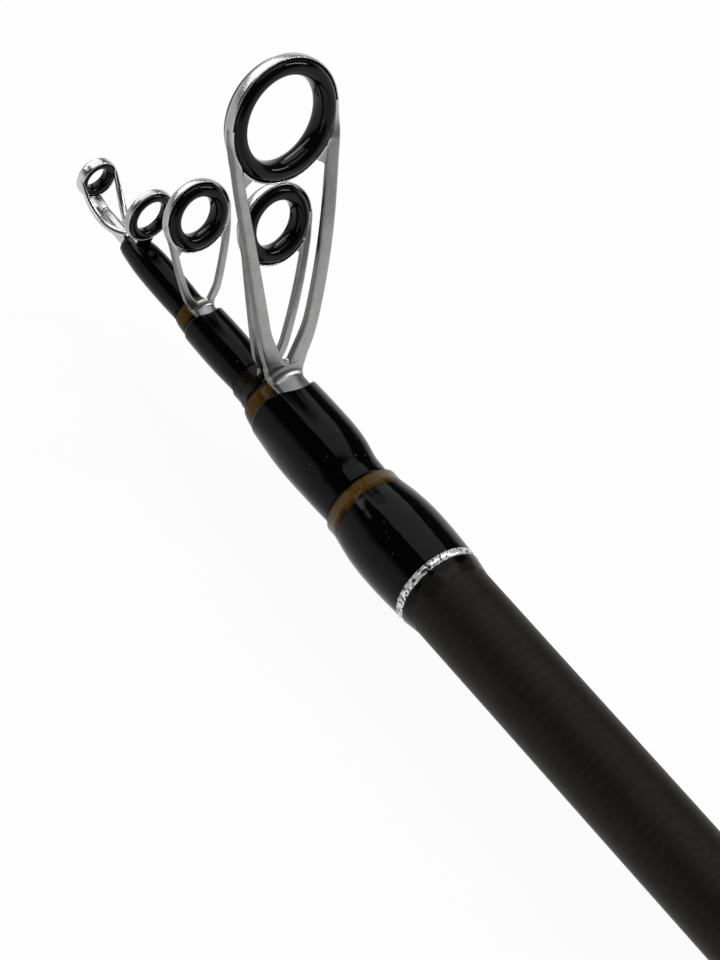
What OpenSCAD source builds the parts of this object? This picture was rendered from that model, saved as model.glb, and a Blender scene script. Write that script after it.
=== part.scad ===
// Telescopic fishing rod, closed: five sections, a floating guide, a screw reel seat and a screw butt cap
// The rod lies along +X from its butt face at the origin, with the line guides on the +Z side

/* [Sections] */
// Distance from the butt face to the butt section's mouth
mouth_x = 560; // [530:5:600]
// How far section 2's mouth stands out of the butt section
show_2 = 25.7; // [25:0.1:30]
// How far section 3's mouth stands out of section 2
show_3 = 22.3; // [22:0.1:26]
// How far section 4's mouth stands out of section 3
show_4 = 17.7; // [17:0.1:22]
// How far the tip-top's tube stands out of section 4
show_tip = 9.3; // [8:0.1:12]
// Length of each section that stays inside the one behind it when drawn out
overlap = 60; // [40:5:80]
// Outer diameter of the butt section at its rear end
butt_d = 15.2; // [14.8:0.1:16]
// Outer diameter of the butt section behind its wrap
section_1_d = 14.3; // [14:0.1:14.6]
// Outer diameter of section 2 below its mouth
section_2_d = 11; // [10.6:0.1:11.2]
// Outer diameter of section 3 below its mouth
section_3_d = 6.4; // [6.2:0.1:6.6]
// Outer diameter of section 4 below its mouth
section_4_d = 4.6; // [4.4:0.1:4.7]
// Diameter of the solid tip where the tip-top is glued on
tip_d = 1.6; // [1.4:0.1:1.8]
// Outer diameter of the butt section at its mouth
mouth_1_d = 12.8; // [12.6:0.1:13]
// Outer diameter of section 2 at its mouth
mouth_2_d = 9.7; // [9.6:0.1:10]
// Outer diameter of section 3 at its mouth
mouth_3_d = 6.1; // [6:0.1:6.3]
// Outer diameter of section 4 at its mouth
mouth_4_d = 4.1; // [4:0.1:4.3]
// Wall of every section at its mouth
mouth_wall = 0.6; // [0.5:0.05:0.65]

/* [Wraps] */
// Fullest diameter of the wrap at the butt section's mouth
wrap_1_d = 16.1; // [15.8:0.1:16.6]
// Fullest diameter of the wrap on section 2
wrap_2_d = 13.1; // [13:0.1:13.6]
// Fullest diameter of the wrap on section 3
wrap_3_d = 7.5; // [7.4:0.1:8]
// Fullest diameter of the wrap on section 4
wrap_4_d = 5.9; // [5.8:0.1:6.2]
// Length of the wrap on the butt section
wrap_1_len = 24.2; // [22:0.1:28]
// Thickness of the thread wound under guide 1's foot
underwrap = 0.9; // [0.6:0.05:1]
// Width of the amber thread band at a mouth
band_w = 3.2; // [2.5:0.1:3.4]
// Width of the silver trim band on the butt section's wrap
trim_w = 2; // [1.5:0.1:3]
// Distance from the butt section's mouth back to the silver trim band
trim_back = 19.5; // [17:0.1:20]
// Distance from the butt section's mouth back to its wrap's fullest place
full_1_back = 11.5; // [9:0.5:13]
// Distance from the butt section's mouth forward to the fullest place of section 2's wrap
full_2_ahead = 11.5; // [9:0.5:13]
// Distance from section 2's mouth forward to the fullest place of section 3's wrap
full_3_ahead = 11; // [9:0.5:13]
// Distance from section 3's mouth forward to the fullest place of section 4's wrap
full_4_ahead = 5; // [4:0.5:7]
// Room left for the floating guide's sleeve between section 2's mouth and section 3's wrap
sleeve_room = 4.8; // [4.4:0.1:5.2]

/* [Guides] */
// Outer diameter of guide 1's ring holder
guide_1_d = 22.1; // [20:0.1:24]
// Height of guide 1's ring centre above the rod's axis
guide_1_h = 49; // [44:0.5:54]
// Distance from section 2's mouth forward to guide 1's ring
guide_1_ahead = 14.7; // [14:0.1:16]
// Thickness of guide 1's sheet
guide_1_sheet = 1.2; // [1:0.05:1.3]
// Outer diameter of the floating guide's ring holder
guide_2_d = 14.3; // [13:0.1:15.5]
// Height of the floating guide's ring centre above the rod's axis
guide_2_h = 29.9; // [27:0.1:34]
// Distance from section 2's mouth forward to the floating guide's ring
guide_2_ahead = 10.4; // [9.8:0.1:11]
// Thickness of the floating guide's sheet
guide_2_sheet = 0.95; // [0.8:0.05:1]
// Outer diameter of guide 3's ring holder
guide_3_d = 12.7; // [11.6:0.1:13.5]
// Height of guide 3's ring centre above the rod's axis
guide_3_h = 20.1; // [18:0.1:22]
// Distance from section 3's mouth forward to guide 3's ring
guide_3_ahead = 2.7; // [2:0.1:3.4]
// Thickness of guide 3's sheet
guide_3_sheet = 0.75; // [0.6:0.05:0.8]
// Outer diameter of guide 4's ring holder
guide_4_d = 9.5; // [8.8:0.1:10]
// Height of guide 4's ring centre above the rod's axis
guide_4_h = 8.4; // [8.2:0.1:10]
// Distance from section 4's mouth back to guide 4's ring
guide_4_back = 2.4; // [2:0.1:3]
// Thickness of guide 4's sheet
guide_4_sheet = 0.6; // [0.5:0.05:0.7]
// Outer diameter of the tip-top's ring holder
tip_ring_d = 7.3; // [7:0.1:7.8]
// Height of the tip-top's ring centre above the rod's axis
tip_ring_h = 5.2; // [5:0.1:6]
// Distance from the front of the tip-top's tube to its ring
tip_ring_ahead = 2.4; // [2:0.1:3]
// Lean of the guide rings toward the tip, in degrees
ring_lean = 19; // [15:1:21]
// Distance from section 3's mouth at which the floating guide jams on its taper
float_stop = 200; // [120:5:240]

/* [Handle] */
// Diameter of the rear grip
grip_d = 24; // [22.5:0.5:27]
// Length of the rear grip
grip_len = 167.5; // [140:0.5:180]
// Diameter of the reel seat's barrel
seat_d = 20; // [19:0.5:21]
// Length of the reel seat
seat_len = 114; // [108:1:120]
// Length of the fore grip
fore_len = 72; // [50:1:80]
// Travel of the sliding hood along the reel seat
hood_travel = 20; // [10:1:24]
// Width of the pocket that takes a reel's foot
pocket_w = 16.4; // [15.6:0.1:17.4]
// Number of flutes round the butt cap and the locking nut
flutes = 24; // [16:1:30]

/* [Hidden] */
$fn = 96;
// Gap of a glued or bound joint
bond = 0.02;
// Running gap between one section's base and the bore that it jams in
slide_gap = 0.04;
// Gap left where two pieces only come up against one another
rest_gap = 0.3;
// Running gap of the screw threads
thread_gap = 0.06;
// Widening of each section's bore toward the butt, in mm of radius per mm
bore_slope = 0.0006;
// Length of the neck that brings a section down to its mouth
neck_len = 3;

// Places along the handle, from the butt face forward
cap_len = 9;
gasket_t = 0.9;
gasket_gap = 0.1;
flange_x = cap_len + gasket_t + gasket_gap;
flange_t = 2.5;
ferrule_front = 28;
pad_len = 7.5;
pad_front = 31.5;
grip_x = flange_x + flange_t;
ring_t = 3;
rear_ring_x = grip_x + grip_len;
seat_x = rear_ring_x + ring_t;
front_ring_x = seat_x + seat_len;
fore_x = front_ring_x + ring_t;
check_x = fore_x + fore_len;
check_len = 5;

// Sections count from 0, the butt section, to 3, with the solid tip after them
mouth = [mouth_x, mouth_x + show_2, mouth_x + show_2 + show_3, mouth_x + show_2 + show_3 + show_4];
top_r = [section_1_d, section_2_d, section_3_d, section_4_d] / 2;
mouth_r = [mouth_1_d, mouth_2_d, mouth_3_d, mouth_4_d] / 2;
pad_rest = pad_front + rest_gap;
base_x = [grip_x, ferrule_front + rest_gap, pad_rest, pad_rest, pad_rest];
tip_stop = 1.3;
tip_front = mouth[3] + show_tip - tip_stop;

function lerp(a, b, t) = a + (b - a) * t;
function neck_x(s) = mouth[s] - neck_len;
function bore_at(s, x) = mouth_r[s] - mouth_wall + bore_slope * (mouth[s] - x);
function base_r(s) = s == 0 ? butt_d / 2 : bore_at(s - 1, mouth[s - 1] - overlap) - slide_gap;
function cone_r(s, x) = lerp(base_r(s), top_r[s], (x - base_x[s]) / (neck_x(s) - base_x[s]));
function neck_r(s, x) = lerp(top_r[s], mouth_r[s], (x - neck_x(s)) / neck_len);
function blank_r(s, x) = x < neck_x(s) ? cone_r(s, x) : neck_r(s, x);

// Turn of each section about the rod's axis, in degrees, as the closed rod lies
turn_2 = -1;
turn_float = 0;
turn_3 = -7;
turn_4 = 0;
turn_tip = -4;

// A wrap is [rear place, fullest place, front place, rear radius, fullest radius, front radius]
wrap_edge = 0.15;
step_in = 0.1;
wraps = [
    [
        mouth[0] - wrap_1_len - rest_gap, mouth[0] - full_1_back, mouth[0] - rest_gap,
        top_r[0] + wrap_edge, wrap_1_d / 2, mouth_r[0] + wrap_edge
    ],
    [
        mouth[0] + rest_gap, mouth[0] + full_2_ahead, mouth[1] - rest_gap,
        mouth_r[0] - step_in, wrap_2_d / 2, mouth_r[1] + wrap_edge
    ],
    [
        mouth[1] + sleeve_room, mouth[1] + full_3_ahead, mouth[2] - rest_gap,
        top_r[2] + 3 * wrap_edge, wrap_3_d / 2, mouth_r[2] + wrap_edge
    ],
    [
        mouth[2] + rest_gap, mouth[2] + full_4_ahead, mouth[3] - rest_gap,
        mouth_r[2] - 2 * step_in, wrap_4_d / 2, mouth_r[3] + wrap_edge
    ]
];
wrap_steps = 14;

function w_rear(w) = w[0];
function w_full(w) = w[1];
function w_front(w) = w[2];
function w_full_r(w) = w[4];
function w_end_r(w, x) = x < w_full(w) ? w[3] : w[5];
function w_run(w, x) = x < w_full(w) ? w_full(w) - w_rear(w) : w_front(w) - w_full(w);
function w_fall(w, x) = (x - w_full(w)) / w_run(w, x);
function wrap_r(w, x) = w_full_r(w) - (w_full_r(w) - w_end_r(w, x)) * pow(w_fall(w, x), 2);

// Floating guide's sleeve: its bore jams on section 3's taper
sleeve_x = mouth[1] + rest_gap;
sleeve_end = w_rear(wraps[2]) - rest_gap;
sleeve_wall = 0.4;
sleeve_bore = blank_r(2, mouth[2] - float_stop) + slide_gap;
sleeve_r = sleeve_bore + sleeve_wall;
float_wrap_t = 0.2;
bind_back = 0.3;

// A guide is [radius under the foot, ring place, ring height, holder diameter, hole diameter, rim, sheet,
// lean of ring, lean of legs, bow of legs, half width of foot, half width of heel, foot length,
// foot direction, bend radius, leg width, half width of the gap at its foot], with its places along X and
// its leans and bow in degrees
foot_lift = 2 * bond;
guide_1 = [
    top_r[1] + underwrap + foot_lift, mouth[1] + guide_1_ahead, guide_1_h, guide_1_d, guide_1_d * 0.638,
    0.6, guide_1_sheet,
    ring_lean, 20, 11, 2.9, 4.8, 12,
    -1, 2.2, 2.1, 0.7
];
guide_2 = [
    sleeve_r + foot_lift, mouth[1] + guide_2_ahead, guide_2_h, guide_2_d, guide_2_d * 0.538, 0.5, guide_2_sheet,
    ring_lean, 15.3, 8, 2.3, 2.8, 1.9,
    -1, 1.2, 1.6, 0.9
];
guide_3 = [
    top_r[2] + foot_lift, mouth[2] + guide_3_ahead, guide_3_h, guide_3_d, guide_3_d * 0.512, 0.5, guide_3_sheet,
    ring_lean, 12.5, 5, 2, 3.2, 9,
    -1, 1.2, 1.1, 2
];
guide_4 = [
    top_r[3] + foot_lift, mouth[3] - guide_4_back, guide_4_h, guide_4_d, guide_4_d * 0.558, 0.45, guide_4_sheet,
    8, 8, 0, 1.5, 1.6, 4,
    1, 0.8, 1, 1
];
// The tip-top's ring in the same form, without a foot
tip_ring = [
    0, mouth[3] + show_tip + tip_ring_ahead, tip_ring_h, tip_ring_d, tip_ring_d * 0.53, 0.4, 0.5,
    4, 4, 0, 1, 1, 1,
    -1, 1, 1, 1
];

function g_under_r(g) = g[0];
function g_ring_x(g) = g[1];
function g_ring_z(g) = g[2];
function g_hold_r(g) = g[3] / 2;
function g_hole_r(g) = g[4] / 2;
function g_rim(g) = g[5];
function g_sheet(g) = g[6];
function g_ring_lean(g) = g[7];
function g_leg_lean(g) = g[8];
function g_leg_bow(g) = g[9];
function g_foot_w(g) = g[10];
function g_heel_w(g) = g[11];
function g_foot_len(g) = g[12];
function g_way(g) = g[13];
function g_bend_r(g) = g[14];
function g_leg_w(g) = g[15];
function g_gap_w(g) = g[16];

function g_seat_r(g) = g_hold_r(g) - g_rim(g);
function g_path_r(g) = g_under_r(g) + g_sheet(g) / 2;
function g_holder_len(g) = 0.1 * g_hold_r(g) + 0.6;
// Place where the sheet changes from the legs' lean to the ring's, low on the ring
function g_knee_drop(g) = 0.75 * g_hold_r(g);
function g_knee_x(g) = g_ring_x(g) - g_knee_drop(g) * sin(g_ring_lean(g));
function g_knee_z(g) = g_ring_z(g) - g_knee_drop(g) * cos(g_ring_lean(g));
// The legs leave the bend more upright than their chord and reach the knee more leaned
function g_low_lean(g) = g_leg_lean(g) - g_leg_bow(g);
function g_leg_z(g) = g_path_r(g) + g_bend_r(g) * (1 + g_way(g) * sin(g_low_lean(g)));
function g_leg_x(g) = g_knee_x(g) - (g_knee_z(g) - g_leg_z(g)) * tan(g_leg_lean(g));
function g_bend_x(g) = g_leg_x(g) + g_way(g) * g_bend_r(g) * cos(g_low_lean(g));
function g_foot_x(g) = g_bend_x(g) + g_way(g) * g_foot_len(g);

// Reel seat
seat_r = seat_d / 2;
hood_wall = 1.5;
hood_gap = 0.3;
hood_len = 20;
hood_back = 5;
pocket_r = pocket_w / 2;
pocket_z = seat_r - 2.5;
fixed_hood_x = seat_x + 3;
nut_len = 12;
nut_x = front_ring_x - nut_len - 4;
slide_hood_x = nut_x - rest_gap - hood_len;
thread_pitch = 2;
thread_depth = 0.5;
key_w = 3;
key_depth = 1;
grip_r = grip_d / 2;

// Butt cap
plug_r = 5;
pad_r = plug_r - 0.8;
flute_r = 1;

steel = "Silver";
black = "#0b0c0f";
amber = "#6b470c";
ceramic = "#16171a";
carbon = "#1d1a14";
foam = "#1a1a1b";

// Solid turned about the rod's axis from an outline of [radius, place] points
module turned(outline) {
    rotate([0, 90, 0])
        rotate_extrude()
            polygon(outline);
}

// Solid turned about the local X axis from a flat shape whose X is the radius
module turned_shape() {
    rotate([0, 90, 0])
        rotate_extrude()
            children();
}

// Plain ring or tube round the rod's axis
module tube(x0, x1, inner, outer) {
    turned([[inner, x0], [outer, x0], [outer, x1], [inner, x1]]);
}

// Hollow tapered section with a neck at its mouth
module blank(s) {
    color(carbon)
        turned([
            [bore_at(s, base_x[s]), base_x[s]],
            [base_r(s), base_x[s]],
            [top_r[s], neck_x(s)],
            [mouth_r[s], mouth[s]],
            [mouth_r[s] - mouth_wall, mouth[s]]
        ]);
}

// Everything inside a section's outer surface, with the bond's gap, to cut from what is bound on it
module core(s) {
    turned([
        [0, base_x[s]],
        [base_r(s) + bond, base_x[s]],
        [top_r[s] + bond, neck_x(s)],
        [mouth_r[s] + bond, mouth[s]],
        [mouth_r[s] + bond, mouth[s] + 1],
        [0, mouth[s] + 1]
    ]);
}

// Part of a wrap's full form between two places
module wrap_form(w, x0, x1) {
    turned(concat(
        [[0, x0]],
        [for (i = [0:wrap_steps]) let (x = lerp(x0, x1, i / wrap_steps)) [wrap_r(w, x), x]],
        [[0, x1]]
    ));
}

// Swelling of a wrap over a guide's foot, thickest on the guide's side, with a cover of epoxy on the foot
module foot_swell(g, x0, x1, lift, cover, front_fall) {
    full = g_under_r(g) + g_sheet(g) + cover - lift;
    rear_fall = 1.9 * lift;
    middle = lerp(x0, x1, 0.6);
    translate([0, 0, lift])
        turned(concat(
            [[0, x0]],
            [for (i = [0:wrap_steps])
                let (
                    x = lerp(x0, x1, i / wrap_steps),
                    run = x < middle ? middle - x0 : x1 - middle,
                    fall = x < middle ? rear_fall : front_fall
                )
                [full - fall * pow((x - middle) / run, 2), x]],
            [[0, x1]]
        ));
}

// Arched foot of a guide, or the space that it takes with a gap all round
module guide_foot(g, gap) {
    end = g_foot_x(g) + g_way(g) * gap;
    start = g_bend_x(g) - g_way(g) * g_bend_r(g);
    half = g_foot_w(g) + gap;
    intersection() {
        tube(min(end, start), max(end, start), g_under_r(g) - gap, g_under_r(g) + g_sheet(g) + gap);
        translate([min(end, start), -half, 0])
            cube([abs(end - start), 2 * half, g_ring_z(g)]);
    }
}

// Space that a guide's foot and heel take, with the gap of a bound joint all round
module foot_space(g) {
    gap = 2 * bond;
    guide_foot(g, gap);
    guide_sheet(g, gap, g_heel_w(g) + gap);
}

// Thread wrap on a section, closed over the foot of its guide
module guide_wrap(s, g, x1, lift, cover, front_fall) {
    w = wraps[s];
    difference() {
        union() {
            wrap_form(w, w_rear(w), x1);
            foot_swell(g, w_rear(w) + 1, x1, lift, cover, front_fall);
        }
        core(s);
        foot_space(g);
    }
}

// Thread band at a mouth, in line with the wrap behind it
module mouth_band(s) {
    difference() {
        wrap_form(wraps[s], w_front(wraps[s]) - band_w + bond, w_front(wraps[s]));
        core(s);
    }
}

// Puts a piece at a guide's ring, with local X along the ring's axis
module at_ring(g) {
    translate([g_ring_x(g), 0, g_ring_z(g)])
        rotate([0, g_ring_lean(g), 0])
            children();
}

// Point [place, height] on one face of a guide's sheet, beside a point of its middle with a given lean
function face_at(g, x, z, lean, off) = [x - off * g_way(g) * cos(lean), z + off * g_way(g) * sin(lean)];
bend_steps = 10;
leg_steps = 8;
function bend_points(g, off) = [for (i = [0:bend_steps - 1])
    let (
        a = -90 - g_way(g) * (90 + g_way(g) * g_low_lean(g)) * i / bend_steps,
        r = g_bend_r(g) + off
    )
    [g_bend_x(g) + r * cos(a), g_path_r(g) + g_bend_r(g) + r * sin(a)]];
// The legs' middle follows a parabola from the bend to the knee
function leg_points(g, off) = [for (i = [0:leg_steps])
    let (
        t = i / leg_steps,
        chord = (g_knee_z(g) - g_leg_z(g)) / cos(g_leg_lean(g)),
        bow = chord * tan(g_leg_bow(g)) * t * (1 - t),
        lean = g_leg_lean(g) - atan(tan(g_leg_bow(g)) * (1 - 2 * t))
    )
    face_at(
        g,
        lerp(g_leg_x(g), g_knee_x(g), t) - bow * cos(g_leg_lean(g)),
        lerp(g_leg_z(g), g_knee_z(g), t) + bow * sin(g_leg_lean(g)),
        lean,
        off
    )];
// One face of the sheet from the start of its bend to the top of its ring, with a gap added
function sheet_side(g, side, gap) = let (
    off = side * (g_sheet(g) / 2 + gap),
    top_x = g_ring_x(g) + g_hold_r(g) * sin(g_ring_lean(g)),
    top_z = g_ring_z(g) + g_hold_r(g) * cos(g_ring_lean(g))
) concat(
    [[g_bend_x(g) + g_way(g) * (g_bend_r(g) / 2 + gap), g_path_r(g) - off]],
    bend_points(g, off),
    leg_points(g, off),
    [face_at(g, top_x, top_z, g_ring_lean(g), off)]
);
function backward(list) = [for (i = [len(list) - 1:-1:0]) list[i]];

// Bent sheet of a guide before it is cut to its outline: bend, legs and the plane of its ring
module guide_sheet(g, gap, half_width) {
    rotate([90, 0, 0])
        linear_extrude(2 * half_width, center = true)
            polygon(concat(sheet_side(g, 1, gap), backward(sheet_side(g, -1, gap))));
}

// Point where a straight leg edge from p touches a circle of radius r about the ring's centre
function touch(p, r) = let (a = atan2(p[1], p[0]) + acos(r / norm(p))) [r * cos(a), r * sin(a)];

// Points of an outline's right half, with their mirror images, as one list round
function both_sides(points) = concat(points, [for (p = backward(points)) [-p[0], p[1]]]);

// Flat outline of a guide, seen along its ring's axis
module guide_outline(g, open_legs) {
    tuck = g_rim(g) / 4;
    low = -(g_ring_z(g) - g_path_r(g)) / cos(g_ring_lean(g));
    heel = [g_heel_w(g), low + g_bend_r(g)];
    side = touch(heel, g_hold_r(g) - tuck);
    foot = [g_foot_w(g), low - g_bend_r(g) / 2];
    difference() {
        union() {
            circle(g_hold_r(g) - tuck);
            polygon(both_sides([side, heel, foot, foot - [0, g_foot_len(g)]]));
        }
        circle(g_seat_r(g) + tuck);
        if (open_legs)
            difference() {
                leg_gap(g, [side[0] - g_leg_w(g), side[1]], low + 0.9 * g_bend_r(g));
                circle(g_hold_r(g) - 2 * tuck);
            }
    }
}

// Gap between the legs, from its top corners down to a round-cornered bottom
module leg_gap(g, top, bottom) {
    corner = min(g_gap_w(g), g_bend_r(g) / 2);
    flat = g_gap_w(g) - corner;
    polygon(both_sides([top, [g_gap_w(g), bottom + corner], [flat, bottom + corner], [flat, bottom]]));
    for (side = [-1, 1])
        translate([side * flat, bottom + corner])
            circle(corner);
}

// Round-edged band that holds the ceramic ring
module ring_holder(g, length) {
    rim = g_rim(g);
    turned_shape()
        translate([g_seat_r(g), 0]) {
            translate([0, rim / 2 - length / 2])
                square([rim, length - rim]);
            for (end = [-1, 1])
                translate([rim / 2, end * (length - rim) / 2])
                    circle(d = rim, $fn = 24);
        }
}

// Stamped guide frame: arched foot, bent sheet cut to its outline and rolled ring holder
module guide_frame(g, open_legs) {
    color(steel) {
        guide_foot(g, 0);
        intersection() {
            guide_sheet(g, 0, 2 * g_hold_r(g));
            at_ring(g)
                rotate([90, 0, 90])
                    linear_extrude(2 * g_ring_z(g), center = true)
                        guide_outline(g, open_legs);
        }
        at_ring(g)
            ring_holder(g, g_holder_len(g));
    }
}

// Polished ceramic ring with a round inner edge
module guide_ring(g) {
    outer = g_seat_r(g) - bond;
    inner = g_hole_r(g);
    bead = outer - inner;
    flat = 0.3 * bead;
    color(ceramic)
        at_ring(g)
            turned_shape()
                translate([inner + bead / 2, 0]) {
                    translate([-bead / 2, -flat / 2])
                        square([bead, flat]);
                    for (end = [-1, 1])
                        translate([0, end * flat / 2])
                            circle(d = bead);
                }
}

// Butt section

module butt_blank() {
    blank(0);
}

module butt_wrap() {
    w = wraps[0];
    color(black)
        difference() {
            wrap_form(w, w_rear(w), w_front(w) - band_w);
            core(0);
            trim_space(bond);
        }
}

// Ring-shaped space of the silver trim band in the wrap
module trim_space(gap) {
    x1 = mouth[0] - trim_back;
    w = wraps[0];
    tube(x1 - trim_w - gap, x1 + gap, top_r[0] + 0.3 - gap, wrap_r(w, x1) + (gap > 0 ? 1 : 0.04));
}

module butt_mouth_band() {
    color(amber)
        mouth_band(0);
}

module silver_trim_band() {
    color(steel)
        trim_space(0);
}

module butt_ferrule() {
    color("DimGray")
        turned([
            [plug_r, flange_x],
            [grip_r - 0.5, flange_x],
            [grip_r, flange_x + 0.5],
            [grip_r, flange_x + flange_t - bond],
            [bore_at(0, ferrule_front) - bond, flange_x + flange_t - bond],
            [bore_at(0, ferrule_front) - bond, ferrule_front],
            [plug_r, ferrule_front]
        ]);
}

// Butt cap, pad and gasket

module butt_cap() {
    color(black)
        difference() {
            turned([
                [0, 0],
                [grip_r - 2, 0],
                [grip_r - 0.6, 0.6],
                [grip_r, 2],
                [grip_r, cap_len],
                [plug_r - thread_gap, cap_len],
                [plug_r - thread_gap, pad_front - pad_len],
                [0, pad_front - pad_len]
            ]);
            for (i = [0:flutes - 1])
                rotate([i * 360 / flutes, 0, 0])
                    translate([2.5, 0, grip_r + flute_r / 2])
                        rotate([0, 90, 0])
                            cylinder(r = flute_r, h = cap_len);
        }
}

module cap_gasket() {
    color("#202022")
        tube(cap_len, cap_len + gasket_t, plug_r + rest_gap, grip_r - 1);
}

module cushion_pad() {
    color("SaddleBrown")
        turned([
            [0, pad_front - pad_len],
            [pad_r, pad_front - pad_len],
            [pad_r, pad_front - 0.8],
            [pad_r - 0.8, pad_front],
            [0, pad_front]
        ]);
}

// Handle

// Radius of the butt section with its bond gap, where a handle piece is pushed on
function on_blank(x) = blank_r(0, x) + bond;

// Handle piece on the butt section, from an outline of [place, outer radius] points
module on_butt(outline) {
    x0 = outline[0][0];
    x1 = outline[len(outline) - 1][0];
    turned(concat(
        [[on_blank(x0), x0]],
        [for (p = outline) [p[1], p[0]]],
        [[on_blank(x1), x1]]
    ));
}

// Outline points of a round-over at an end, from angle a0 to a1 about a centre at place x and radius r
function round_over(x, r, size, a0, a1) = [for (i = [0:6])
    let (a = lerp(a0, a1, i / 6)) [x + size * cos(a), r + size * sin(a)]];

module rear_grip() {
    soft = 1.5;
    color(foam)
        on_butt(concat(
            round_over(grip_x + soft, grip_r - soft, soft, 180, 90),
            round_over(rear_ring_x - bond - soft, grip_r - soft, soft, 90, 0)
        ));
}

module trim_ring(x) {
    color(steel)
        on_butt([
            [x, grip_r - 0.4],
            [x + 0.4, grip_r],
            [x + ring_t - 0.4 - bond, grip_r],
            [x + ring_t - bond, grip_r - 0.4]
        ]);
}

module rear_trim_ring() {
    trim_ring(rear_ring_x);
}

module front_trim_ring() {
    trim_ring(front_ring_x);
}

module reel_seat_body() {
    turns = floor((front_ring_x - slide_hood_x - hood_len / 2) / thread_pitch) - 1;
    color(black)
        difference() {
            on_butt([[seat_x, seat_r], [front_ring_x - bond, seat_r]]);
            for (i = [0:turns - 1])
                translate([front_ring_x - 2 - i * thread_pitch, 0, 0])
                    turned([
                        [seat_r - thread_depth, -0.3],
                        [seat_r + 1, -0.8],
                        [seat_r + 1, 0.8],
                        [seat_r - thread_depth, 0.3]
                    ]);
            translate([slide_hood_x - hood_travel - 1, -key_w / 2, -seat_r - 1])
                cube([front_ring_x - slide_hood_x + hood_travel - 2, key_w, key_depth + 1]);
        }
}

// Hood that closes over one end of a reel's foot, with its pocket open toward +X
module hood(inner) {
    difference() {
        union() {
            tube(0, hood_len, inner, inner + hood_wall);
            translate([0, 0, pocket_z])
                turned([
                    [0, 0],
                    [pocket_r + hood_wall - 2, 0],
                    [pocket_r + hood_wall - 0.6, 0.6],
                    [pocket_r + hood_wall, 2],
                    [pocket_r + hood_wall, hood_len],
                    [0, hood_len]
                ]);
        }
        translate([hood_back, 0, pocket_z])
            rotate([0, 90, 0])
                cylinder(r = pocket_r, h = hood_len);
        translate([-1, 0, 0])
            rotate([0, 90, 0])
                cylinder(r = inner, h = hood_len + 2);
    }
}

module fixed_hood() {
    color(steel)
        translate([fixed_hood_x, 0, 0])
            hood(seat_r + bond);
}

module sliding_hood() {
    color(steel) {
        translate([slide_hood_x + hood_len, 0, 0])
            mirror([1, 0, 0])
                hood(seat_r + hood_gap);
        translate([slide_hood_x, rest_gap - key_w / 2, -seat_r - hood_gap - hood_wall / 2])
            cube([hood_len, key_w - 2 * rest_gap, hood_wall / 2 + hood_gap + key_depth - rest_gap]);
    }
}

module locking_nut() {
    inner = seat_r + thread_gap;
    outer = seat_r + 3;
    color(black)
        difference() {
            turned([
                [inner, nut_x],
                [outer - 1, nut_x],
                [outer, nut_x + 1],
                [outer, nut_x + nut_len - 1],
                [outer - 1, nut_x + nut_len],
                [inner, nut_x + nut_len]
            ]);
            for (i = [0:flutes - 1])
                rotate([i * 360 / flutes, 0, 0])
                    translate([nut_x + 2, 0, outer + flute_r / 2])
                        rotate([0, 90, 0])
                            cylinder(r = flute_r, h = nut_len - 4);
        }
}

module fore_grip() {
    front_r = grip_r - 2.5;
    soft = 1.5;
    color(foam)
        on_butt(concat(
            round_over(fore_x + soft, grip_r - soft, soft, 180, 90),
            [[lerp(fore_x, check_x, 0.45), grip_r]],
            round_over(check_x - bond - soft, front_r - soft, soft, 80, 0)
        ));
}

module winding_check() {
    color(steel)
        on_butt([
            [check_x, grip_r - 3],
            [check_x + 1.5, grip_r - 3],
            [check_x + check_len, top_r[0] + 0.8]
        ]);
}

// Section 2 and guide 1

module section_2_blank() {
    blank(1);
}

module section_2_wrap() {
    color(black)
        rotate([turn_2, 0, 0])
            guide_wrap(1, guide_1, w_front(wraps[1]) - band_w, lift = 1.3, cover = 0.35, front_fall = 0.9);
}

module section_2_mouth_band() {
    color(amber)
        rotate([turn_2, 0, 0])
            difference() {
                mouth_band(1);
                foot_space(guide_1);
            }
}

module guide_1_frame() {
    rotate([turn_2, 0, 0])
        guide_frame(guide_1, true);
}

module guide_1_ring() {
    rotate([turn_2, 0, 0])
        guide_ring(guide_1);
}

// Floating guide on its sleeve

module float_sleeve() {
    color(carbon)
        tube(sleeve_x, sleeve_end, sleeve_bore, sleeve_r);
}

module float_wrap() {
    x0 = sleeve_x;
    x1 = g_bend_x(guide_2) - bind_back;
    lift = g_sheet(guide_2) + 0.1;
    swell_r = sleeve_r + 0.35;
    slope = 0.5;
    color(amber)
        rotate([turn_float, 0, 0])
            difference() {
                union() {
                    tube(x0, x1, 0, sleeve_r + float_wrap_t);
                    translate([0, 0, lift])
                        turned([
                            [0, x0],
                            [swell_r - slope, x0],
                            [swell_r, x0 + slope],
                            [swell_r, x1],
                            [0, x1]
                        ]);
                }
                tube(x0 - 1, x1 + 1, 0, sleeve_r + bond);
                foot_space(guide_2);
            }
}

module guide_2_frame() {
    rotate([turn_float, 0, 0])
        guide_frame(guide_2, true);
}

module guide_2_ring() {
    rotate([turn_float, 0, 0])
        guide_ring(guide_2);
}

// Section 3 and guide 3

module section_3_blank() {
    blank(2);
}

module section_3_wrap() {
    color(black)
        rotate([turn_3, 0, 0])
            guide_wrap(2, guide_3, w_front(wraps[2]) - band_w, lift = 0.3, cover = 0.3, front_fall = 0.57);
}

module section_3_mouth_band() {
    color(amber)
        rotate([turn_3, 0, 0])
            difference() {
                mouth_band(2);
                foot_space(guide_3);
            }
}

module guide_3_frame() {
    rotate([turn_3, 0, 0])
        guide_frame(guide_3, true);
}

module guide_3_ring() {
    rotate([turn_3, 0, 0])
        guide_ring(guide_3);
}

// Section 4 and guide 4

module section_4_blank() {
    blank(3);
}

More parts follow.
